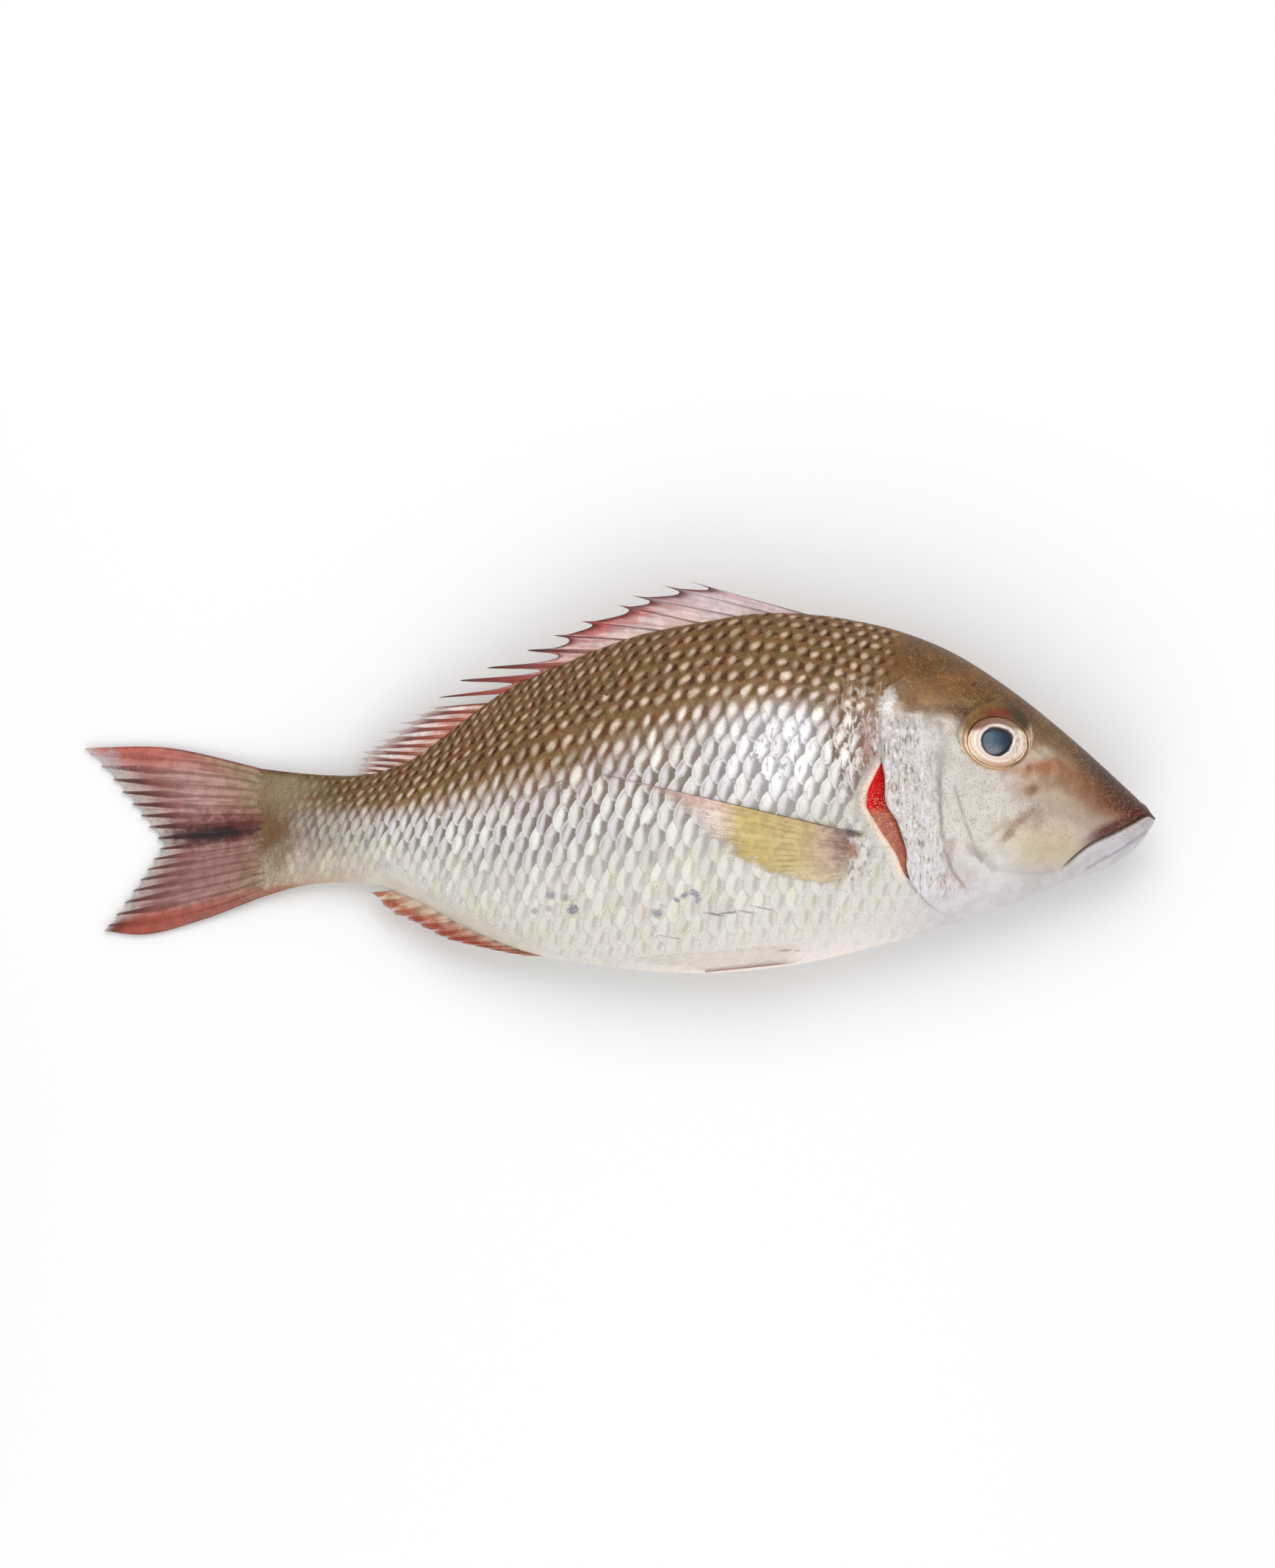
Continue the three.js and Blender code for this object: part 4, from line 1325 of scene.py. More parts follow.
    def height(self, row: Array, s: Array, y: Array) -> tuple[Array, Array, Array]:
        """The relief at places of the skin.

        Args:
            row: The rows' unbent places.
            s: Distances behind the snout.
            y: Heights.

        Returns:
            The height over the outline, the painted shade in creases, and the cream rim's share.
        """
        on_cover = row <= self.cover_row + 1e-6
        tuck = 1 - 0.3 * smooth(row, self.cover_row - 0.7, self.cover_row)
        rise = np.where(on_cover, self.plate(s, y) * tuck, 0)
        open_here = window(y, -26, -22, 17.5, 21)
        q = np.clip((row - self.cover_row) / (self.slit_row - self.cover_row), 0, 1)
        rise -= np.where(on_cover, 0, self.slit_depth * (1 - q) ** 0.7 * open_here)
        past = s - self.slit(y)
        rim = np.where(row >= self.slit_row - 0.4, bump_at(past - 0.5, 1.5), 0) * open_here
        rise += 0.55 * rim
        # Painted shade in creases: along the cover's edge, behind the cheek plate, in the folds and in the
        # nostrils.
        crease = 0.75 * bump_at(s - self.cover(y) - 0.6, 0.8) * smooth(y, -38, -30) * (1 - open_here)
        crease *= np.where(y < -20, 1, 0.35) * (1 - smooth(y, 30, 42))

        fade = window(y, -29, -24, 12, 22)
        edge = self.cheek(y)
        share = np.clip((s - self.cheek_front(y)) / (edge - self.cheek_front(y)), 0, 1)
        rise += self.cheek_rise * share**1.3 * fade * (1 - smooth(s, edge, edge + 1.1))
        crease += 0.8 * bump_at(s - edge - 0.9, 0.75) * fade

        fold, jaw_fold, temple = (
            line.distance(s, y) for line in (self.fold, self.jaw_fold, self.temple))
        rise -= 0.4 * bump_at(fold, 0.7) + 0.5 * bump_at(jaw_fold, 0.9) + 0.3 * bump_at(temple, 1.1)
        crease += 0.6 * bump_at(fold, 0.55) + 0.25 * bump_at(jaw_fold, 0.7) + 0.25 * bump_at(temple, 0.8)
        bulge = ((s - 46) / 16) ** 2 + ((y + 12) / 8.5) ** 2
        rise += 0.9 * np.maximum(1 - bulge, 0) ** 0.8

        over = self.lip_distance(s, y)
        open_mouth = (1 - smooth(s, self.gape_end - 3, self.gape_end + 1)) * smooth(s, 0, 5)
        rise -= 1.5 * bump_at(over, 0.7) * open_mouth
        lip = np.where((over > 0.6) & (over < 4.8), np.sin(np.pi * (over - 0.6) / 4.2), 0)
        rise += 0.55 * np.maximum(lip, 0) ** 0.7 * open_mouth * (1 - 0.6 * s / self.gape_end)
        rise += 0.45 * bump_at(over + 2.4, 1.5) * open_mouth
        rise -= 0.35 * bump_at(over + 4.9, 0.9) * open_mouth

        for place in self.nostrils:
            away = np.hypot(s - place[0], y - place[1])
            rise += 0.3 * bump_at(away - 2.1, 0.7) - 1 * bump_at(away, 1.05)
            crease += 0.9 * bump_at(away, 1)
        eye = np.hypot((s - self.eye[0]) / 12.4, (y - self.eye[1]) / 10)
        rise -= 5 * (1 - smooth(eye, 0.84, 1))
        return rise, np.clip(crease, 0, 1), rim


HEAD = HeadRelief()


@dataclass
class Skin:
    """The whole skin, closed round the trunk from the snout to the root of the tail."""

    around: int = 288
    head_sink: float = 0.12
    trunk_sink: float = 0.45

    def sink(self, s: Array) -> Array:
        """How far the skin lies under the solid's face, so that scales and lips fit over it."""
        tail = 0.7 * BREAM.half_width(s) * smooth(s, 334, 345)
        return between(self.head_sink, self.trunk_sink, smooth(s, 92, 112)) * smooth(s, 0, 4) + tail

    def build(self, material: Material) -> None:
        """Builds the skin, which stands for the solid fish.

        Args:
            material: Its finish.
        """
        row = HEAD.rows()[:, None]
        angle = circle(self.around)
        s = np.broadcast_to(row, (row.shape[0], self.around)).copy()
        rows = s.copy()
        for _ in range(4):
            y = BREAM.ring(s, angle)[..., 1]
            s = HEAD.bend(rows, y)
        points = BREAM.ring(s, angle)
        y = points[..., 1]
        rise, crease, rim = HEAD.height(rows, s, y)
        points = points + BREAM.facing(s, angle) * (rise - self.sink(s))[..., None]
        count = points.shape[0] * self.around
        ends = np.stack([BREAM.ring(0, 0), BREAM.ring(BREAM.end, 0)])
        ends[1, 1] = (BREAM.back(BREAM.end) + BREAM.belly(BREAM.end)) / 2
        snout = fan(count, 0, self.around)
        tail = fan(count + 1, count - self.around, self.around)[:, [0, 2, 1]]
        every = np.concatenate([points.reshape(-1, 3), ends])
        front = HEAD.cover_front(y)
        over = (s - front) / (HEAD.cover(y) - front)
        on_cover = smooth(over, -0.5, 0.55) * (rows <= HEAD.cover_row) * smooth(y, -36, -24)
        on_cover = on_cover * (1 - smooth(y, 34, 40))
        marks = {
            "behind": s, "height": y, "up": BREAM.share_up(s, y), "crease": crease, "cream": rim,
            "cover": on_cover, "gape": np.where(s < 60, HEAD.lip_distance(s, y), 30)}
        flat = {k: np.concatenate([v.reshape(-1), v.reshape(-1)[[0, -1]]]) for k, v in marks.items()}
        sheet = grid(points.shape[0], self.around, closed=True)
        Draft().add(every, [sheet, snout, tail], **flat).make("skin", material, SKIN_SLOT, "fish")


SKIN = Skin()


@dataclass
class ScaleCoat:
    """Overlapping scales in rows along the lateral line, each a domed plate tipped up behind."""

    side: Side
    lateral: Run = Run((
        (60, 30), (100, 38), (125, 44), (150, 46.5), (180, 44), (210, 37), (240, 27), (270, 12),
        (290, 3), (310, -2), (345, -6)))
    pitch_along: Run = Run((
        (60, 4.6), (92, 5), (112, 5.8), (150, 6.4), (190, 6.1), (227, 5.7), (270, 4.7), (310, 3.9),
        (324, 3.5), (336, 2.8), (348, 2.4)))
    pitch_back: Run = Run((
        (60, 4.4), (100, 4.7), (125, 5), (154, 6), (190, 5.2), (214, 4.2), (233, 3.9), (270, 3.8),
        (310, 3.7), (324, 3.5), (336, 2.8), (348, 2.4)))
    pitch_up: Run = Run((
        (60, 4.8), (110, 5.2), (150, 6.1), (180, 5.7), (210, 4.6), (235, 4), (290, 3.7), (345, 3.5)))
    pitch_down: Run = Run(((60, 6), (120, 6.9), (180, 7.3), (230, 6.7), (280, 4.9), (345, 3.7)))
    front: Run = Run((
        (78, 93), (66, 91), (57, 91.5), (50, 95), (46, 100), (34, 102.5), (20, 103), (9, 107.5),
        (4, 108.4), (-1, 106), (-7, 102.5), (-14, 97.5), (-20, 94.4), (-25, 91.5), (-33, 86), (-39, 80),
        (-60, 77)))
    rear: float = 332.0
    long_share: float = 0.98
    wide_share: float = 0.92
    shear: float = 0.2
    front_sink: float = 0.15
    edge_rise: float = 0.12
    sheath: float = 6.5
    dome: float = 0.04
    ring_reach: tuple[float, ...] = (0.36, 0.66, 0.88, 1, 1)
    spokes: int = 16
    seed: int = 11

    def __post_init__(self) -> None:
        """Measures the way round the body, from the lateral line, at many places."""
        self.places = np.arange(56, 352, 1.5)
        turns = np.linspace(-0.5, np.pi + 0.5, 420)
        rings = BREAM.ring(self.places[:, None], turns[None, :])
        steps = np.linalg.norm(np.diff(rings[..., 1:], axis=1), axis=-1)
        ways = np.concatenate([np.zeros((len(self.places), 1)), np.cumsum(steps, axis=1)], axis=1)
        starts = BREAM.angle_at(self.places, self.lateral(self.places), Side.RIGHT)
        self.step = 0.5
        self.ways = np.arange(-120, 120, self.step)
        self.turns = np.stack([
            np.interp(self.ways, (np.interp(start, turns, way) - way)[::-1], turns[::-1])
            for start, way in zip(starts, ways)])

    def turn(self, s: Array, way: Array) -> Array:
        """The turn round the body at a distance from the lateral line.

        Args:
            s: Distances behind the snout.
            way: Distances over the skin from the lateral line, up the flank.

        Returns:
            Turns on the right side.
        """
        i = np.clip((s - self.places[0]) / 1.5, 0, len(self.places) - 1.001)
        j = np.clip((way - self.ways[0]) / self.step, 0, len(self.ways) - 1.001)
        i0, j0 = i.astype(int), j.astype(int)
        fi, fj = i - i0, j - j0
        upper = between(self.turns[i0, j0], self.turns[i0, j0 + 1], fj)
        lower = between(self.turns[i0 + 1, j0], self.turns[i0 + 1, j0 + 1], fj)
        return between(upper, lower, fi)

    def pitch(self, row: Array, s: Array) -> Array:
        """The distance between rows, above and below the lateral line."""
        return np.where(row >= 0, self.pitch_up(s), self.pitch_down(s))

    def length(self, row: Array, s: Array) -> Array:
        """The distance between scales along a row."""
        return between(self.pitch_along(s), self.pitch_back(s), smooth(row, 0, 3))

    def centres(self, chance: np.random.Generator) -> Grids:
        """Places for the middle of each scale.

        Args:
            chance: The source of small irregularities.

        Returns:
            The row of each scale and its distance behind the snout.
        """
        fine = np.arange(60, 346, 0.5)
        rows, places = [], []
        shift = 0
        for row in range(-19, 13):
            counts = np.cumsum(0.5 / self.length(np.array(float(row)), fine))
            counted = np.concatenate([[0], counts[:-1]])
            shift += float(between(0.5, 0.16, smooth(row, -5, 1)))
            steps = np.arange(0.25, counted[-1], 1) + shift % 1
            s = np.interp(steps, counted, fine) + chance.normal(0, 0.16, len(steps))
            turn = self.turn(s, row * self.pitch(np.array(row), s))
            y = BREAM.ring(s, turn)[..., 1]
            bare = self.sheath * window(s, 216, 232, 286, 300)
            kept = (turn > -0.03) & (turn < np.pi + 0.02) & (y > BREAM.belly(s) + bare - 0.01)
            kept = kept & (s > self.front(y)) & (s < self.rear + chance.normal(0, 1.2, len(s)))
            rows.append(np.full(kept.sum(), float(row)))
            places.append(s[kept])
        return np.concatenate(rows), np.concatenate(places)

    def disc(self) -> Grids:
        """The points of one plate as it would lie flat: its middle, and then ring by ring.

        Returns:
            Tailward and upward places from -1 to 1.
        """
        spoke = circle(self.spokes)
        reach = np.array(self.ring_reach)[:, None]
        a, b = (np.concatenate([[0], (reach * wave(spoke)).ravel()]) for wave in (np.cos, np.sin))
        return a, b

    def build(self, material: Material) -> None:
        """Builds the scales of one flank.

        Args:
            material: Their finish.
        """
        chance = np.random.default_rng(self.seed + self.side.value)
        row, s0 = self.centres(chance)
        a, b = self.disc()
        count, many = len(row), len(a)
        size = chance.uniform(0.95, 1.05, (count, 1))
        s = s0[:, None] + (a - self.shear * b) * self.long_share * self.length(row, s0)[:, None] * size
        pitch = self.pitch(row[:, None], s)
        tilt = chance.normal(0, 0.05, (count, 1))
        way = row[:, None] * pitch + b * self.wide_share * self.pitch(row, s0)[:, None] * size
        way = way + chance.normal(0, 0.14, (count, 1))
        turn = self.turn(s, way)
        s = np.maximum(s, HEAD.scales_from(BREAM.ring(s, turn)[..., 1]))
        turn = self.turn(s, way)
        flat = BREAM.ring(s, turn * self.side.value)
        y = flat[..., 1]
        up = BREAM.share_up(s, y)
        past = s0[:, None] - self.front(y)
        lead = smooth(past, 0, between(between(7, 14, smooth(-y, 12, 26)), 9, smooth(y, 42, 54)))
        fade = lead * (1 - 0.9 * smooth(s, 312, 332))
        hem = smooth(y - BREAM.belly(s) - self.sheath, 0, 6)
        fade = fade * between(1, hem, window(s, 216, 232, 286, 300))
        bold = fade * between(0.08, 1, smooth(up, 0.12, 0.34))
        breast = 1 - 0.6 * (1 - smooth(s, 118, 140)) * smooth(-y, 14, 24)
        reach = np.hypot(a, b)
        rise = between(-self.front_sink, self.edge_rise * (1 + tilt * 3), (a + 1) / 2)
        rise = (rise + self.dome * (1 - reach**2) + tilt * b * 0.4) * between(0.1, 1, bold * breast)
        rise = rise * (1 - 0.6 * smooth(up, 0.14, 0.24) * (1 - smooth(up, 0.56, 0.68)))
        tube = np.where(row[:, None] == 0, 0.12 * bump_at(b, 0.2) * smooth(a, -0.3, 0.3), 0)
        rise = rise + tube * lead
        rise[:, -self.spokes:] = -0.4
        lift = rise - SKIN.sink(s)
        points = flat + BREAM.facing(s, turn * self.side.value) * lift[..., None]
        hub = fan(0, 1, self.spokes)
        bands = 1 + grid(len(self.ring_reach), self.spokes, closed=True)
        starts = (np.arange(count) * many)[:, None, None]
        parts = hub, bands[:-self.spokes], bands[-self.spokes:]
        faces = [(part + starts).reshape(-1, part.shape[1]) for part in parts]
        draft = Draft().add(
            points, faces, self.side is Side.RIGHT, 1, behind=s, height=y, up=up, tailward=a, upward=b,
            luck=chance.uniform(0, 1, (count, 1)),
            bold=fade * breast * between(0.1, 1, smooth(up, 0.06, 0.28)))
        draft.make(f"scales_{self.side.word}", material, SKIN_SLOT)


@dataclass
class Eye:
    """An eyeball with its pupil and wrinkled iris, and the ring of skin round it."""

    side: Side
    at: Pair = HEAD.eye
    ball: tuple[float, float, float] = (13, 10.8, 7.2)
    sunk: float = 3.1
    pupil: Pair = (5.6, 5.5)
    pupil_point: float = 0.2
    gaze: Pair = (-1.9, -0.8)
    rings: int = 46
    spokes: int = 96
    socket_middle: Pair = (0.9, 2.6)
    socket_size: Pair = (14.6, 13.4)
    lid_rise: float = 1.15

    def axes(self) -> tuple[Array, Array, Array, Array]:
        """The place of the eye on the skin, and its own directions.

        Returns:
            The place, and the ways ahead, up and out.
        """
        s, y = self.at
        place = BREAM.over_skin(s, y, 0, self.side)
        step = 8
        ahead = BREAM.over_skin(s - step, y, 0, self.side) - BREAM.over_skin(s + step, y, 0, self.side)
        up = BREAM.over_skin(s, y + step, 0, self.side) - BREAM.over_skin(s, y - step, 0, self.side)
        out = np.cross(ahead, up) * self.side.value
        out = out / np.linalg.norm(out)
        ahead = ahead / np.linalg.norm(ahead)
        up = np.cross(out, ahead) * self.side.value
        return place, ahead, up / np.linalg.norm(up), out

    def build_ball(self, material: Material) -> None:
        """Builds the eyeball, which stands for the solid one.

        Args:
            material: Its finish.
        """
        place, ahead, up, out = self.axes()
        turn = circle(self.spokes)
        part = np.linspace(0, 1, self.rings + 1)[1:, None]
        c, d = np.cos(turn), np.sin(turn)
        point = 1 + self.pupil_point * np.maximum(np.cos(turn - 0.36), 0) ** 6
        inner = np.hypot(self.pupil[0] * c, self.pupil[1] * d) * point
        reach = 0.985
        outer = reach / np.sqrt((c / self.ball[0]) ** 2 + (d / self.ball[1]) ** 2)
        split = 0.45
        radius = np.where(
            part < split, inner * part / split, between(inner, outer, (part - split) / (1 - split)))
        aside = 1 - smooth(part, 0.3, 0.95)
        x, y = radius * c + self.gaze[0] * aside, radius * d + self.gaze[1] * aside
        ball = np.sqrt(np.maximum(1 - (x / self.ball[0]) ** 2 - (y / self.ball[1]) ** 2, 0))
        iris = np.clip((part - split) / (1 - split), 0, 1) * np.ones_like(c)
        wrinkles = 0.09 * np.sin(iris * 38 + 2.5 * np.sin(turn * 2)) * smooth(iris, 0.02, 0.12)
        dip = -0.35 * bump_at(part - split, 0.035) + 0.22 * bump_at(iris - 0.12, 0.1) * (iris > 0)
        high = self.ball[2] * ball - self.sunk + wrinkles + dip
        high = high - 0.5 * smooth(iris, 0.9, 1)
        points = place + x[..., None] * ahead + y[..., None] * up + high[..., None] * out
        middle = place + self.gaze[0] * ahead + self.gaze[1] * up + (self.ball[2] - self.sunk) * out
        below = points[-1] - 2.2 * out
        count = self.rings * self.spokes
        hub = fan(count, 0, self.spokes)
        faces = grid(self.rings + 1, self.spokes, closed=True)
        skirt = faces[-self.spokes:]
        skirt = np.where(skirt >= count, skirt + 1, skirt)
        faces = [hub, faces[:-self.spokes], skirt]
        every = np.concatenate([points.reshape(-1, 3), middle[None, :], below])
        shape = points.shape[:2]
        marks = {
            "pupil": np.where(part < split, part / split, 1 + part - split) * np.ones(shape),
            "iris": iris, "ahead": (x - self.gaze[0]) / 6,
            "above": np.where(iris > 0, y / self.ball[1], y / 6)}
        full = {k: np.concatenate([v.reshape(-1), [0], v[-1]]) for k, v in marks.items()}
        draft = Draft().add(every, faces, self.side is Side.LEFT, **full)
        draft.make(f"eyeball_{self.side.word}", material, EYE_SLOT, f"eye_{self.side.word}")

    def build_socket(self, material: Material) -> None:
        """Builds the ring of skin round the eye, from the iris out to the rim of the orbit.

        Args:
            material: Its finish.
        """
        place, ahead, up, out = self.axes()
        turn = circle(120)
        part = np.array([-0.10, -0.03, 0, 0.04, 0.08, 0.13, 0.18, 0.23, 0.28, 0.34, 0.4, 0.47,
                         0.54, 0.61, 0.68, 0.75, 0.82, 0.88, 0.94, 1, 1.06, 1.12])[:, None]
        c, d = np.cos(turn), np.sin(turn)
        across = 12 / self.ball[0]
        eye_x, eye_y = self.ball[0] * across * c, self.ball[1] * across * d
        inset = np.sqrt(1 - across**2) * self.ball[2] - self.sunk
        near = place + eye_x[..., None] * ahead + eye_y[..., None] * up + inset * out
        flat_s, flat_y = -near[..., 0], near[..., 1]
        far_s = self.at[0] + self.socket_middle[0] - self.socket_size[0] * c
        far_y = self.at[1] + self.socket_middle[1] + self.socket_size[1] * d
        s, y = between(flat_s, far_s, part), between(flat_y, far_y, part)
        share = np.clip(part, 0, 1)
        upper = smooth(d, -0.2, 0.7)
        crest = 0.75 * bump_at(share - 0.12, 0.09) * between(1, 0.5, upper)
        second = between(0.55, 0, upper) * bump_at(share - 0.36, 0.10)
        lid = self.lid_rise * bump_at(share - 0.42, 0.42) * upper
        rim = 0.3 * bump_at(share - 0.8, 0.16) * upper
        over = crest + second + lid + rim - 0.5 * smooth(part, 0.97, 1.12) * 1.8
        over = over - 1.6 * (1 - smooth(part, -0.08, 0.05))
        wave = 0.06 * np.sin(turn * 23 + part * 9) * bump_at(share - 0.5, 0.4)
        on_skin = BREAM.over_skin(s, y, over + wave - SKIN.sink(s), self.side)
        on_ball = near + (over + wave)[..., None] * out
        hold = (1 - smooth(part, 0, 0.55))[..., None]
        points = on_skin * (1 - hold) + (on_ball + (on_skin - on_ball) * share[..., None]) * hold
        faces = grid(len(part), turn.size, closed=True)
        draft = Draft().add(points, [faces], self.side is Side.LEFT, out=share, ahead=c, above=d)
        draft.make(f"eye_socket_{self.side.word}", material, SKIN_SLOT)


@dataclass
class Gill:
    """The red gill flesh that shows in the slit behind the cover."""

    side: Side
    top: float = 20.4
    low: float = -25.6
    down: int = 150
    across: int = 18

    def build(self, material: Material) -> None:
        """Builds the flesh in one slit, which stands for the solid gill.

        Args:
            material: Its finish.
        """
        v = np.linspace(0, 1, self.down)[:, None]
        q = np.linspace(-0.12, 1.08, self.across)[None, :]
        y = between(self.top, self.low, v)
        ahead, behind = HEAD.cover(y), HEAD.slit(y)
        s = ahead + q * np.maximum(behind - ahead, 0.9)
        part = np.clip(q, 0, 1)
        bulge = 0.9 * np.sin(np.pi * part) ** 0.8
        folds = 0.07 * np.sin(v * 150 + 3 * part + 2 * np.sin(v * 40)) * smooth(v, 0.4, 0.5)
        lumps = 0.3 * np.sin(v * 31 + 1.3) * np.sin(part * 5 + v * 9)
        over = between(-2.6, -1, part) + bulge + folds + lumps
        over = over - 1.2 * (smooth(q, 0.98, 1.08) + smooth(-q, 0, 0.12))
        ends = smooth(v, 0, 0.05) * (1 - smooth(v, 0.95, 1))
        over = between(-2.4, over, ends)
        over_points = BREAM.over_skin(s, y * np.ones_like(s), over, self.side)
        under_points = BREAM.over_skin(s, y * np.ones_like(s), over * 0 - 4.4, self.side)
        draft = Draft().add_sheet(over_points, under_points, self.side is Side.RIGHT, down=v, across=part)
        draft.make(f"gill_flesh_{self.side.word}", material, GILL_SLOT, f"gill_{self.side.word}")


# Fins
@dataclass
class Fin:
    """A fin as a thin closed sheet whose rays stand out of its membrane on both faces."""

    spaces: int = 10
    per_space: int = 14
    steps: int = 34
    ray_width: float = 0.16
    ray_half: Pair = (0.9, 0.35)
    membrane_half: float = 0.2
    branches: Pair = (0.42, 0.72)
    branch_spread: Pair = (0.2, 0.1)
    notch: Pair = (0.08, 0.08)
    notch_width: float = 0.14
    sharp: bool = True
    ray_cut: float = 0.04
    seed: int = 3

    def __post_init__(self) -> None:
        """Sets even places across the fin, and places out to the tip, a little closer there."""
        self.across = np.linspace(0, 1, self.spaces * self.per_space + 1)[:, None]
        self.out = (np.linspace(0, 1, self.steps + 1) ** 0.85)[None, :]

    def ray_mark(self) -> Array:
        """How much of a ray a place holds, as it splits towards the tip.

        Returns:
            1 on a ray, 0 on the membrane.
        """
        place = self.across * self.spaces
        away = place - np.round(place)
        first = self.branch_spread[0] * smooth(self.out, self.branches[0], 1)
        second = self.branch_spread[1] * smooth(self.out, self.branches[1], 1.05)
        width = self.ray_width * between(1, 0.45, self.out)
        best = np.zeros(np.broadcast(self.out, self.across).shape)
        for one in (-1, 1):
            for two in (-1, 1):
                best = np.maximum(best, bump_at(away + one * first + two * second, width))
        return best

    def reach(self) -> Array:
        """How far out the sheet goes, which is less between rays.

        Returns:
            The share of the ray's length.
        """
        chance = np.random.default_rng(self.seed)
        place = self.across * self.spaces
        away = np.abs(place - np.round(place))
        order = np.arange(self.spaces + 1)
        uneven = np.interp(place, order[:-1] + 0.5, chance.uniform(0.75, 1.2, self.spaces))
        cut = np.interp(place, order, chance.uniform(0, self.ray_cut, self.spaces + 1))
        deep = between(*self.notch, self.across) * uneven
        tip = np.exp(-away / self.notch_width) if self.sharp else bump_at(away, self.notch_width)
        return (1 - cut) * (1 - deep * (1 - tip))

    def run(self) -> Array:
        """How far out a place is for its colour, where 1 is the tip of a full ray."""
        return self.out * self.reach()

    def half(self) -> Array:
        """Half the sheet's thickness at places of the fin."""
        ray = between(*self.ray_half, self.out)
        return self.membrane_half + (ray - self.membrane_half) * self.ray_mark()

    def faces(self) -> Grids:
        """The two faces of the sheet, which each kind of fin places in its own way."""
        raise NotImplementedError

    def build(self, name: str, flip: bool, material: Material) -> None:
        """Builds the fin.

        Args:
            name: The piece's name.
            flip: Whether its faces have to be turned round to point out.
            material: Its finish.
        """
        over, under = self.faces()
        marks = {"ray": self.ray_mark(), "edge": self.out, "out": self.run(), "across": self.across}
        Draft().add_sheet(over, under, flip, **marks).make(name, material, SKIN_SLOT)


@dataclass
class MiddleFin(Fin):
    """A fin that stands on the body's middle plane."""

    sway: float = 0.35

    def both(self, s: Array, y: Array, middle: Array, half: Array) -> Grids:
        """Two faces, each half the thickness off the middle plane."""
        return np.stack([-s, y, middle + half], -1), np.stack([-s, y, middle - half], -1)

    def root(self) -> Grids:
        """The fin's root in the body, as distances behind the snout and heights."""
        raise NotImplementedError

    def tip(self) -> Grids:
        """The tips of its rays, as distances behind the snout and heights."""
        raise NotImplementedError

    def faces(self) -> Grids:
        """Places the two faces about the middle plane.

        Returns:
            The grids of the right and left faces.
        """
        s0, y0 = self.root()
        s1, y1 = self.tip()
        far = self.out * self.reach()
        s, y = between(s0, s1, far), between(y0, y1, far)
        middle = BREAM.lift(s) + self.sway * np.sin(self.across * self.spaces * 2.1) * self.out
        return self.both(s, y, middle, self.half())


@dataclass
class SpinyFin(MiddleFin):
    """The front of the back fin: ten leaning spines with hollowed skin between."""

    tips: Knots = (
        (173.8, 87), (183.4, 85.4), (194.8, 81.6), (199.5, 78), (213.6, 72), (224, 66.8),
        (233.8, 61.4), (248.8, 54.8), (258.9, 50.2), (266.8, 43.7))
    first: float = 120.6
    pace: float = 15.8
    shrink: float = 0.27
    root_sink: float = 2.0
    spaces: int = 9
    per_space: int = 20
    ray_width: float = 0.075
    ray_half: Pair = (1, 0.4)
    membrane_half: float = 0.22
    free_depth: Pair = (0.2, 0.82)
    free_from: float = 0.5
    blade: Pair = (0.055, 0.27)

    def rear(self) -> Array:
        """How far towards the rear, where the spines stand free, from 0 to 1."""
        return smooth(self.across, self.free_from, 0.85)

    def ray_mark(self) -> Array:
        """How much of a spine a place holds: thin spines in front, broad blades to the rear.

        Returns:
            1 on a spine, 0 on the skin between.
        """
        k, rear = self.across * self.spaces, self.rear()
        lance = between(between(1.1, 0.5, self.out**2), 0.5 + 0.7 * np.sin(np.pi * self.out**0.8), rear)
        return bump_at(k - np.round(k) + 0.05 * rear, between(*self.blade, rear) * lance)

    def root(self) -> Grids:
        """Where the spines and the skin between them leave the back.

        Returns:
            Distances behind the snout and heights.
        """
        k = self.across * self.spaces
        s = self.first + self.pace * k - self.shrink * k * k
        return s, BREAM.back(s) - self.root_sink

    def tip(self) -> Grids:
        """Points on straight lines between the spines' tips."""
        k, order = self.across * self.spaces, range(len(self.tips))
        return tuple(np.interp(k, order, column) for column in zip(*self.tips))

    def reach(self) -> Array:
        """How far out the skin goes between spines: hollowed, more deeply to the rear.

        Returns:
            The share of the way to the line between the tips.
        """
        k = self.across * self.spaces
        past = k - np.floor(k + 1e-6)
        away = np.minimum(past, 1 - past)
        rear = self.rear()
        deep = between(*self.free_depth, rear)
        hollow = between(0.45, 1, np.sin(np.pi * np.clip(past, 0, 1) ** 0.7))
        return 1 - deep * hollow * (1 - bump_at(away, between(0.045, 0.17, rear)))


@dataclass
class RayedFin(MiddleFin):
    """A soft fin on the back or the belly, its tips on a smooth curve."""

    start: float = 246.0
    end: float = 288.0
    sink: float = 2.0
    on_back: bool = True
    tips: Knots = (
        (0, 272, 40), (0.22, 283.8, 33.6), (0.42, 291, 27), (0.6, 296.8, 23.6), (0.8, 297.4, 19),
        (1, 297.6, 15.2))

    def root(self) -> Grids:
        """The line along the back or the belly that the rays leave from."""
        s = between(self.start, self.end, self.across)
        return s, BREAM.back(s) - self.sink if self.on_back else BREAM.belly(s) + self.sink

    def tip(self) -> Grids:
        """Points on the curve through the named tips."""
        return along(self.tips, self.across)


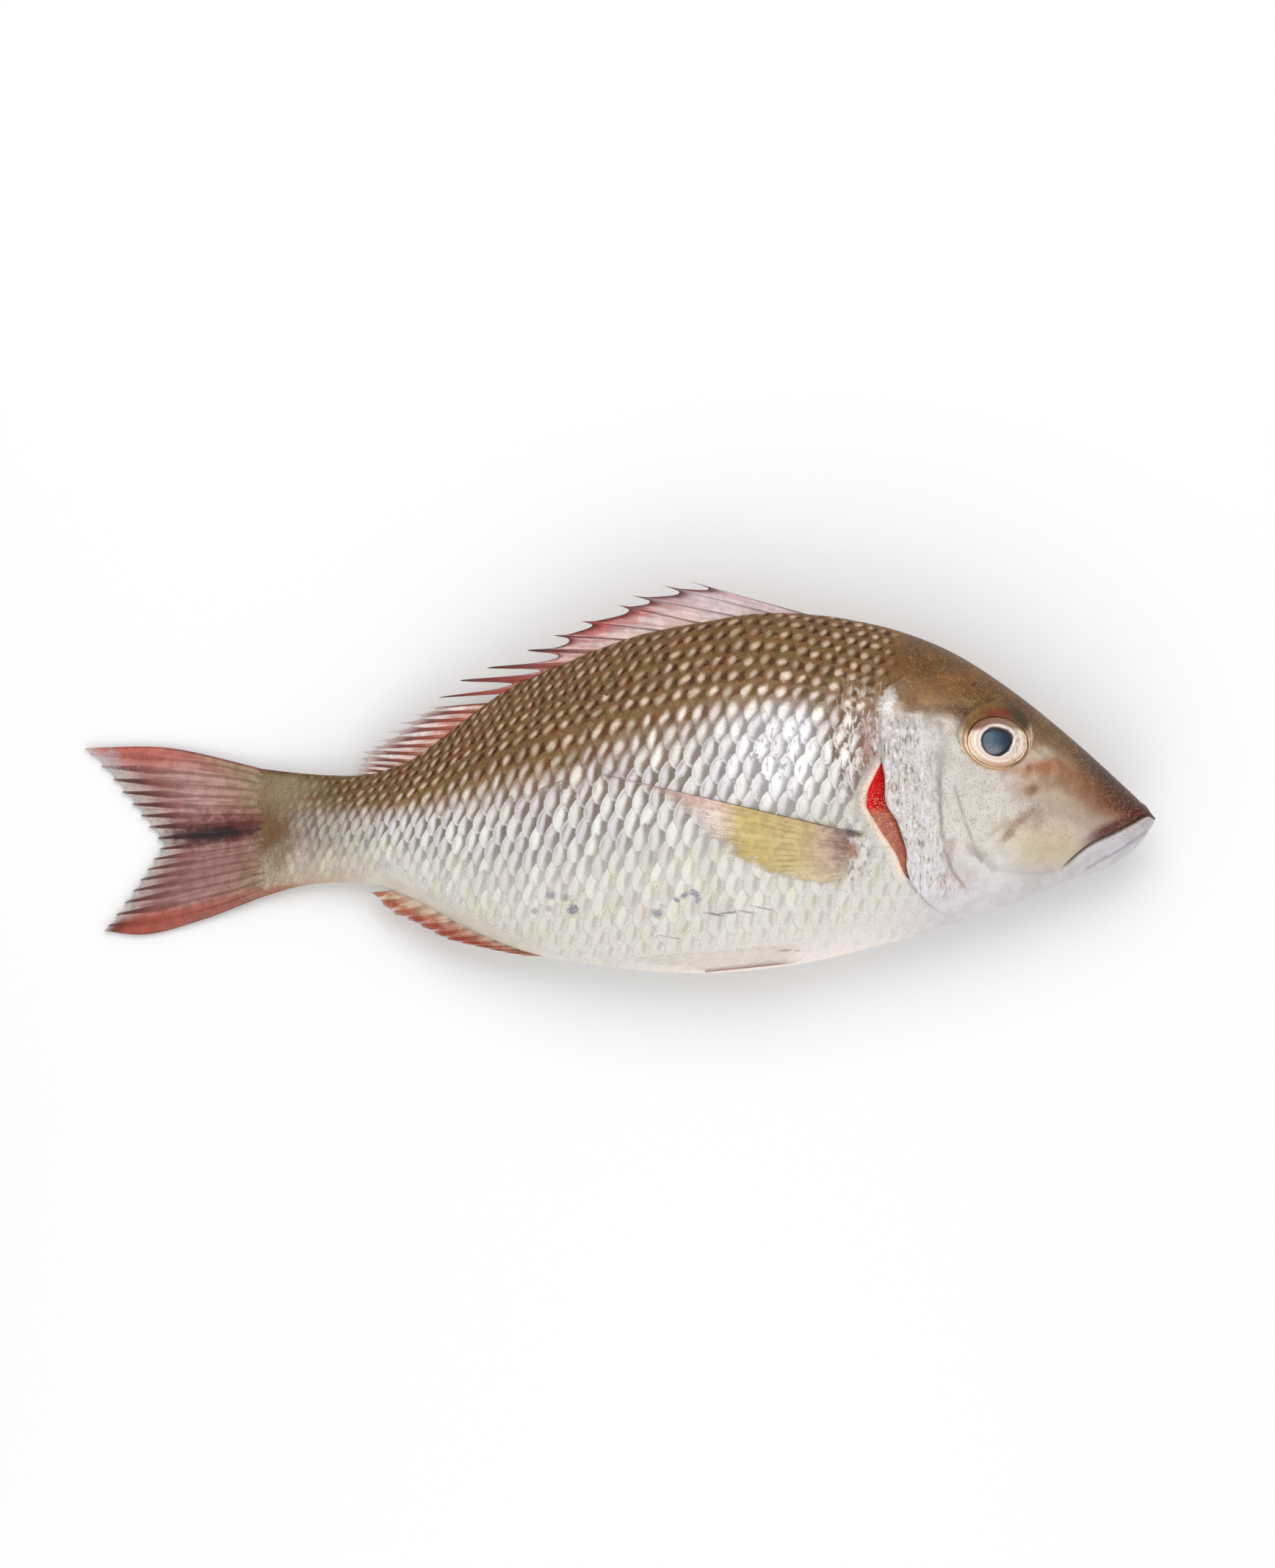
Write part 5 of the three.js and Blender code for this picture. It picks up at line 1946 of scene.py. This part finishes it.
@dataclass
class TailFin(MiddleFin):
    """The forked tail, whose rays fan from the tail root to two pointed lobes."""

    spaces: int = 17
    per_space: int = 18
    steps: int = 44
    root_heights: Pair = (15.4, -27.4)
    root_at: float = 326.0
    fork: Pair = (371, -10.9)
    hollow: float = 1.06
    upper: Knots = ((0, 336, 18.3), (0.35, 362, 24.2), (0.6, 376, 25.6), (1, 399.4, 25))
    lower: Knots = ((0, 330, -30), (0.35, 356, -39.4), (0.7, 376, -44.6), (1, 392, -43.4))
    ray_half: Pair = (0.62, 0.42)
    membrane_half: float = 0.34
    ray_width: float = 0.2
    spike: Pair = (0.46, 0.12)
    notch: Pair = (0.05, 0.05)
    notch_width: float = 0.2
    ray_cut: float = 0.02
    seed: int = 8
    sway: float = 0.0

    def ray_mark(self) -> Array:
        """How much of a ray a place holds: fine split rays that gather into dark spikes.

        Returns:
            1 on a ray, 0 on the membrane.
        """
        place = self.across * self.spaces
        width = between(*self.spike, smooth(self.out, 0.6, 1))
        spike = bump_at(place - np.round(place), width)
        return between(super().ray_mark(), spike, smooth(self.out, 0.52, 0.78))

    def faces(self) -> Grids:
        """Places the two faces of the fan.

        Returns:
            The grids of the right and left faces.
        """
        y0 = between(*self.root_heights, self.across)
        high = self.across < 0.5
        inward = np.where(high, 2 * self.across, 2 - 2 * self.across)
        upper, lower = self.upper[-1], self.lower[-1]
        tip_s = between(self.fork[0], np.where(high, upper[1], lower[1]), (1 - inward) ** self.hollow)
        tip_y = between(self.fork[1], np.where(high, upper[2], lower[2]), 1 - inward)
        fringe = between(0.9, 1.25, smooth(inward, 0.4, 1)) * smooth(inward, 0.02, 0.14)
        far = self.out * (1 - (1 - self.reach()) * fringe)
        straight_s = between(self.root_at, tip_s, far)
        straight_y = between(y0, tip_y, far)
        lobes = zip(along(self.upper, self.out), along(self.lower, self.out))
        edge_s, edge_y = (np.where(high, top, low) for top, low in lobes)
        rim = (1 - inward) ** 6
        join = np.minimum(1, 4 * self.out)
        s = between(straight_s, between(self.root_at, edge_s, join), rim)
        y = between(straight_y, between(y0, edge_y, join), rim)
        thin = between(0.7, 1, np.sqrt(np.clip(inward, 0, 1)))
        half = self.half() * thin
        ragged = 1.4 * np.sin(self.across * 61) + 1.2 * np.sin(self.across * 137 + 1)
        cover = between(-1.3, 0.1, smooth(s + ragged, 327, 339))
        flesh = BREAM.half_at(s, y) + cover + 0.3 * (self.ray_mark() - 0.35)
        half = between(np.maximum(flesh, half), half, smooth(s, 336, 352))
        middle = BREAM.lift(s)
        return self.both(s, y, middle, np.minimum(half, middle - 0.05))


@dataclass
class SideFin(Fin):
    """A paired fin that lies folded back against a flank."""

    side: Side = Side.RIGHT
    spaces: int = 14
    per_space: int = 10
    notch: Pair = (0.03, 0.05)
    sharp: bool = False
    membrane_half: float = 0.1
    ray_half: Pair = (0.3, 0.14)
    top: Pair = (112, -6.3)
    bottom: Pair = (113.5, -22.5)
    tips: Knots = (
        (0, 210.4, 16.4), (0.18, 189.6, 9.3), (0.36, 172, -3.2), (0.55, 161, -13),
        (0.72, 151, -19.2), (0.86, 139.7, -22.6), (1, 126, -25.2))
    rise: Pair = (0.9, 0.1)
    under: float = 0.02
    root_sink: float = 1.2
    bulge: float = 1.6

    def run(self) -> Array:
        """How far out a place is for its colour, where 1 is as far as the longest ray goes."""
        length = Run(self.tips, 1)(self.across) - self.top[0]
        return super().run() * length / (self.tips[0][1] - self.top[0])

    def faces(self) -> Grids:
        """Lays the two faces over the scales of the flank.

        Returns:
            The grids of the outer and inner faces.
        """
        s0 = between(self.top[0], self.bottom[0], self.across) - self.bulge * np.sin(np.pi * self.across)
        y0 = between(self.top[1], self.bottom[1], self.across)
        far = self.out * self.reach()
        s1, y1 = along(self.tips, self.across)
        s = between(s0, s1, far)
        y = np.maximum(between(y0, y1, far), BREAM.belly(s) + 1)
        half = self.half()
        over = between(*self.rise, self.out**0.7) + half
        sunk = self.root_sink * (1 - smooth(self.out, 0, 0.09))
        under = np.full_like(over, self.under) - sunk
        rise = over - sunk * 1.3
        return (
            BREAM.over_skin(s, y, rise, self.side),
            BREAM.over_skin(s, y, np.minimum(under, rise - 0.1), self.side))


SPINES = FinFinish(
    name="back_spines",
    membrane=((0, (188, 148, 124)), (0.3, (214, 168, 160)), (0.7, (182, 96, 92)), (1, (120, 34, 34))),
    ray=((0, (140, 92, 78)), (0.3, (124, 48, 44)), (0.55, (88, 12, 14)), (1, (48, 4, 6))),
    streak=(246, 232, 230), streak_share=0.6, vein=(176, 112, 104), vein_share=0.4, streaks=30,
    rim=(92, 12, 12), rim_from=0.8, rim_share=0.95,
    patches=patches(
        (190, 76, 68, 0.86, 0.42, 0.2, 0.07, 0, 0.8, 2, 0.75),
        (170, 84, 74, 0.2, 0.93, 0.5, 0.22, 0, 0.9, 2, 0.75),
        (208, 198, 204, 0.5, 0.12, 0.5, 0.14, 0, 0.8, 2, 0.6),
        (214, 204, 200, 0.3, 0.3, 0.25, 0.3, 0, 0.9, 3, 0.4)),
    clear_tip=0.12, ray_share=0.95, joints=0)

SOFT_BACK = FinFinish(
    name="soft_back_fin",
    membrane=((0, (222, 190, 176)), (0.3, (222, 202, 194)), (0.62, (228, 216, 211)), (1, (232, 230, 228))),
    ray=(
        (0, (200, 150, 128)), (0.3, (132, 58, 42)), (0.55, (128, 66, 60)), (0.75, (186, 158, 154)),
        (1, (214, 206, 204))),
    streak=(236, 226, 222), streak_share=0.7, vein=(158, 62, 40), vein_share=0.45, streaks=16,
    rim=(200, 190, 188), rim_from=0.8, rim_share=0.4,
    patches=patches((186, 92, 62, 0.16, 0.3, 0.2, 0.3, 0, 0.9, 3, 0.5)),
    clear_tip=0.35, ray_share=0.95, tip_share=0.75, ray_from=(0.04, 0.5), ray_dark=0.94)

ANAL = FinFinish(
    name="anal_fin",
    membrane=((0, (200, 188, 168)), (0.3, (208, 192, 172)), (0.65, (208, 162, 132)), (1, (222, 210, 200))),
    ray=(
        (0, (200, 184, 164)), (0.35, (194, 156, 132)), (0.66, (172, 76, 36)), (0.86, (158, 62, 32)),
        (1, (206, 178, 160))),
    streak=(226, 200, 168), vein=(178, 92, 52), vein_share=0.35, streaks=18,
    rim=(216, 206, 198), rim_from=0.84, rim_share=0.7,
    patches=patches((158, 58, 26, 0.75, 0.45, 0.34, 0.32, 0, 0.9, 3, 0.8)),
    ray_share=0.7, tip_share=0.8, ray_from=(0.06, 0.55), ray_dark=0.95)

TAIL = FinFinish(
    name="tail_fin",
    membrane=(
        (0, (138, 122, 92)), (0.14, (142, 120, 92)), (0.3, (160, 122, 110)), (0.6, (168, 134, 130)),
        (0.78, (160, 122, 118)), (0.88, (192, 178, 172)), (1, (204, 205, 201))),
    ray=(
        (0, (128, 108, 80)), (0.2, (140, 104, 82)), (0.5, (158, 112, 104)), (0.72, (134, 78, 72)),
        (0.85, (92, 40, 36)), (0.94, (96, 52, 48)), (1, (170, 150, 142))),
    streak=(200, 166, 158), streak_share=0.35, vein=(132, 76, 70), vein_share=0.5, streaks=40,
    rim=(208, 206, 200), rim_from=0.94, rim_share=0.5,
    patches=patches(
        (146, 126, 98, 0.05, 0.7, 0.15, 0.4, 0, 0.9, 2, 0.9),
        (146, 126, 100, 0.04, 0.22, 0.15, 0.32, 0, 0.9, 2, 0.9),
        (180, 96, 82, 0.8, 0.03, 0.44, 0.07, 0, 0.6, 0.5, 0.9),
        (206, 190, 196, 0.95, 0.07, 0.12, 0.06, 0, 0.8, 5, 0.7),
        (132, 92, 88, 0.5, 0.72, 0.34, 0.2, 0, 0.9, 1, 0.7),
        (124, 60, 62, 0.2, 0, 0.26, 0.02, 0, 0.8, 0.5, 0.8),
        (166, 82, 66, 0.68, 0.965, 0.56, 0.06, 0, 0.6, 0.5, 1),
        (96, 50, 42, 0.97, 0.97, 0.1, 0.06, 0, 0.8, 2, 0.8),
        (138, 92, 84, 0.25, 1, 0.4, 0.06, 0, 0.8, 2, 0.7),
        (118, 58, 56, 0.24, 0.425, 0.36, 0.1, 0, 0.9, 2, 0.9),
        (70, 34, 32, 0.5, 0.465, 0.34, 0.07, 0, 0.9, 2, 0.85),
        (26, 8, 8, 0.56, 0.475, 0.3, 0.035, 0, 0.9, 1.4, 0.9)),
    clear_from=(0.76, 0.92), hems=(0.95, 0.95), ray_share=0.6, ray_from=(0.12, 0.6))

PECTORAL = FinFinish(
    name="pectoral_fin",
    membrane=(
        (0, (188, 154, 146)), (0.10, (200, 172, 158)), (0.2, (206, 184, 132)), (0.43, (216, 192, 124)),
        (0.45, (218, 196, 136)), (0.53, (246, 232, 222)), (0.62, (252, 242, 240)), (1, (242, 228, 222))),
    ray=(
        (0, (178, 144, 136)), (0.2, (200, 176, 122)), (0.44, (208, 186, 118)), (0.53, (234, 214, 200)),
        (1, (234, 214, 206))),
    streak=(236, 220, 184), streak_share=0.2, streaks=14, rim=(214, 190, 182), rim_from=0.9, rim_share=0.2,
    patches=patches(
        (88, 58, 54, 0.5, 0, 0.8, 0.02, 0, 0.5, 0.2, 0.95),
        (196, 122, 96, 0.66, 0.12, 0.16, 0.12, 0, 0.9, 3, 0.6),
        (134, 100, 90, 0.04, 0.2, 0.05, 0.4, 0, 0.9, 4, 0.6),
        (228, 212, 176, 0.2, 0.92, 0.3, 0.16, 0, 0.8, 0.8, 0.6)),
    clear=0.24, clear_tip=0.95, clear_from=(0.54, 0.82), fray=0.16, hems=(0.85, 0), clear_root=0.1,
    ray_seen=0.1, ray_share=0.25, tip_share=0.5, ray_dark=0.98, joints=30, relief_depth=0.04)

PELVIC = FinFinish(
    name="pelvic_fin",
    membrane=((0, (228, 214, 206)), (0.5, (230, 216, 208)), (1, (226, 210, 202))),
    ray=((0, (222, 204, 196)), (0.6, (214, 190, 180)), (1, (206, 176, 164))),
    streak=(240, 228, 222), streaks=16, rim=(186, 146, 130), rim_from=0.9, rim_share=0.4,
    patches=patches((158, 110, 92, 0.4, 1, 0.6, 0.07, 0, 0.6, 0.4, 0.9)),
    clear=0.86, clear_tip=0.92, hems=(0, 0.75), clear_root=0.2, ray_seen=0.1, ray_share=0.4, tip_share=0.4)


# The studio
@dataclass(frozen=True)
class Studio:
    """A pale floor, soft light from over the back, and a camera straight above."""

    photo_size: tuple[int, int] = (1736, 2135)
    mm_per_pixel: float = 400 / 1466
    snout_pixel: float = 1574.0
    line_pixel: float = 1110.0
    camera_height: float = 3.6
    mid_height: float = 0.025
    sensor: float = 36.0
    floor: Seen = (252, 252, 252)
    sky: float = 0.72
    key_power: float = 5.6
    key_size: float = 0.9
    key_at: tuple[float, float, float] = (0.06, 0.62, 1)
    fill_power: float = 3.2
    fill_at: tuple[float, float, float] = (0, -0.95, 0.6)

    def build(self) -> None:
        """Makes the floor, the light and the camera."""
        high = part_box("fish")[1]
        width, tall = self.photo_size
        x = high.x - (self.snout_pixel - width / 2) * self.mm_per_pixel * MM
        y = high.y - (BREAM.top - (self.line_pixel - tall / 2) * self.mm_per_pixel) * MM
        lens = bpy.data.cameras.new("overhead")
        lens.sensor_width = self.sensor
        lens.lens = self.sensor * self.camera_height / (tall * self.mm_per_pixel * MM)
        lens.clip_start = 0.1
        camera = bpy.data.objects.new("overhead", lens)
        camera.location = (x, y, self.mid_height + self.camera_height)
        bpy.context.scene.collection.objects.link(camera)
        bpy.context.scene.camera = camera
        bpy.context.scene.view_settings.view_transform = "Standard"
        self._floor()
        self._light()

    def _floor(self) -> None:
        """Lays a wide pale floor."""
        mesh = bpy.data.meshes.new("floor")
        far = 6
        mesh.from_pydata(
            [(-far, -far, 0), (far, -far, 0), (far, far, 0), (-far, far, 0)], [], [(0, 1, 2, 3)])
        finish = bpy.data.materials.new("pale_floor")
        finish.use_nodes = True
        board = Board(finish.node_tree)
        shader = finish.node_tree.nodes["Principled BSDF"]
        cloud = board.noise(board.wire("TexCoord", output="Object"), 0.4)
        pale = board.mix(cloud, tone(self.floor, 0.93), tone(self.floor, 0.95))
        for name, source in (("Base Color", pale), ("Roughness", 0.9), ("Specular IOR Level", 0.1)):
            board.feed(shader.inputs[name], source)
        mesh.materials.append(finish)
        floor = bpy.data.objects.new("floor", mesh)
        bpy.context.scene.collection.objects.link(floor)

    def _lamp(self, name: str, power: float, at: tuple[float, float, float]) -> None:
        """Hangs one large soft lamp that faces the fish.

        Args:
            name: Its name.
            power: Its power.
            at: Its place, in metres.
        """
        lamp = bpy.data.lights.new(name, "AREA")
        lamp.shape = "SQUARE"
        lamp.size = self.key_size
        lamp.energy = power
        hung = bpy.data.objects.new(name, lamp)
        hung.location = at
        aim = Vector((0.03, 0, 0)) - hung.location
        hung.rotation_euler = aim.to_track_quat("-Z", "Y").to_euler()
        bpy.context.scene.collection.objects.link(hung)

    def _light(self) -> None:
        """Hangs a lamp over the back and a weaker one by the belly, under an even pale sky."""
        self._lamp("softbox", self.key_power, self.key_at)
        self._lamp("fill", self.fill_power, self.fill_at)
        world = bpy.data.worlds.new("pale_sky")
        world.use_nodes = True
        sky = world.node_tree.nodes["Background"]
        sky.inputs["Color"].default_value = (1, 1, 1, 1)
        sky.inputs["Strength"].default_value = self.sky
        bpy.context.scene.world = world


def main() -> None:
    """Builds the fish from its skin outwards, then the studio."""
    logging.basicConfig(level=logging.INFO, format="%(name)s: %(message)s")
    effects = Effects()
    SKIN.build(BareSkin().material(effects))
    for side in Side:
        finish = ScaleFinish(name=f"scales_{side.word}", damaged=side is Side.RIGHT)
        ScaleCoat(side).build(finish.material(effects))
    ball, socket, gill, pectoral, pelvic = (
        finish.material(effects)
        for finish in (EyeFinish(), SocketFinish(), GillFinish(), PECTORAL, PELVIC))
    for side in Side:
        Eye(side).build_ball(ball)
        Eye(side).build_socket(socket)
        Gill(side).build(gill)
        left = side is Side.LEFT
        SideFin(side=side, steps=40).build(f"pectoral_{side.word}", left, pectoral)
        pelvic_fin = SideFin(
            side=side, top=(127, -47.6), bottom=(131, -53.6), spaces=5, steps=26,
            tips=((0, 199, -53.2), (0.4, 190, -55.2), (1, 168, -58.2)), rise=(0.8, 0.1),
            notch=(0.06, 0.06), ray_half=(0.35, 0.16), membrane_half=0.12, bulge=0.8)
        pelvic_fin.build(f"pelvic_{side.word}", left, pelvic)
    SpinyFin().build("back_spines", False, SPINES.material(effects))
    soft = RayedFin(spaces=10, notch=(0.3, 0.14), steps=30, ray_half=(1, 0.3), ray_width=0.25)
    soft.build("soft_back_fin", False, SOFT_BACK.material(effects))
    anal = RayedFin(
        start=216, end=280, sink=2.5, on_back=False, spaces=11, notch=(0.06, 0.1), steps=28,
        tips=(
            (0, 236, -52.2), (0.25, 252, -49.2), (0.5, 266, -45.6), (0.7, 276.7, -40), (0.87, 286, -35.6),
            (1, 292.6, -29)),
        ray_half=(1.3, 0.3), ray_width=0.26)
    anal.build("anal_fin", True, ANAL.material(effects))
    TailFin().build("tail_fin", False, TAIL.material(effects))
    Studio().build()


if __name__ == "__main__":
    main()
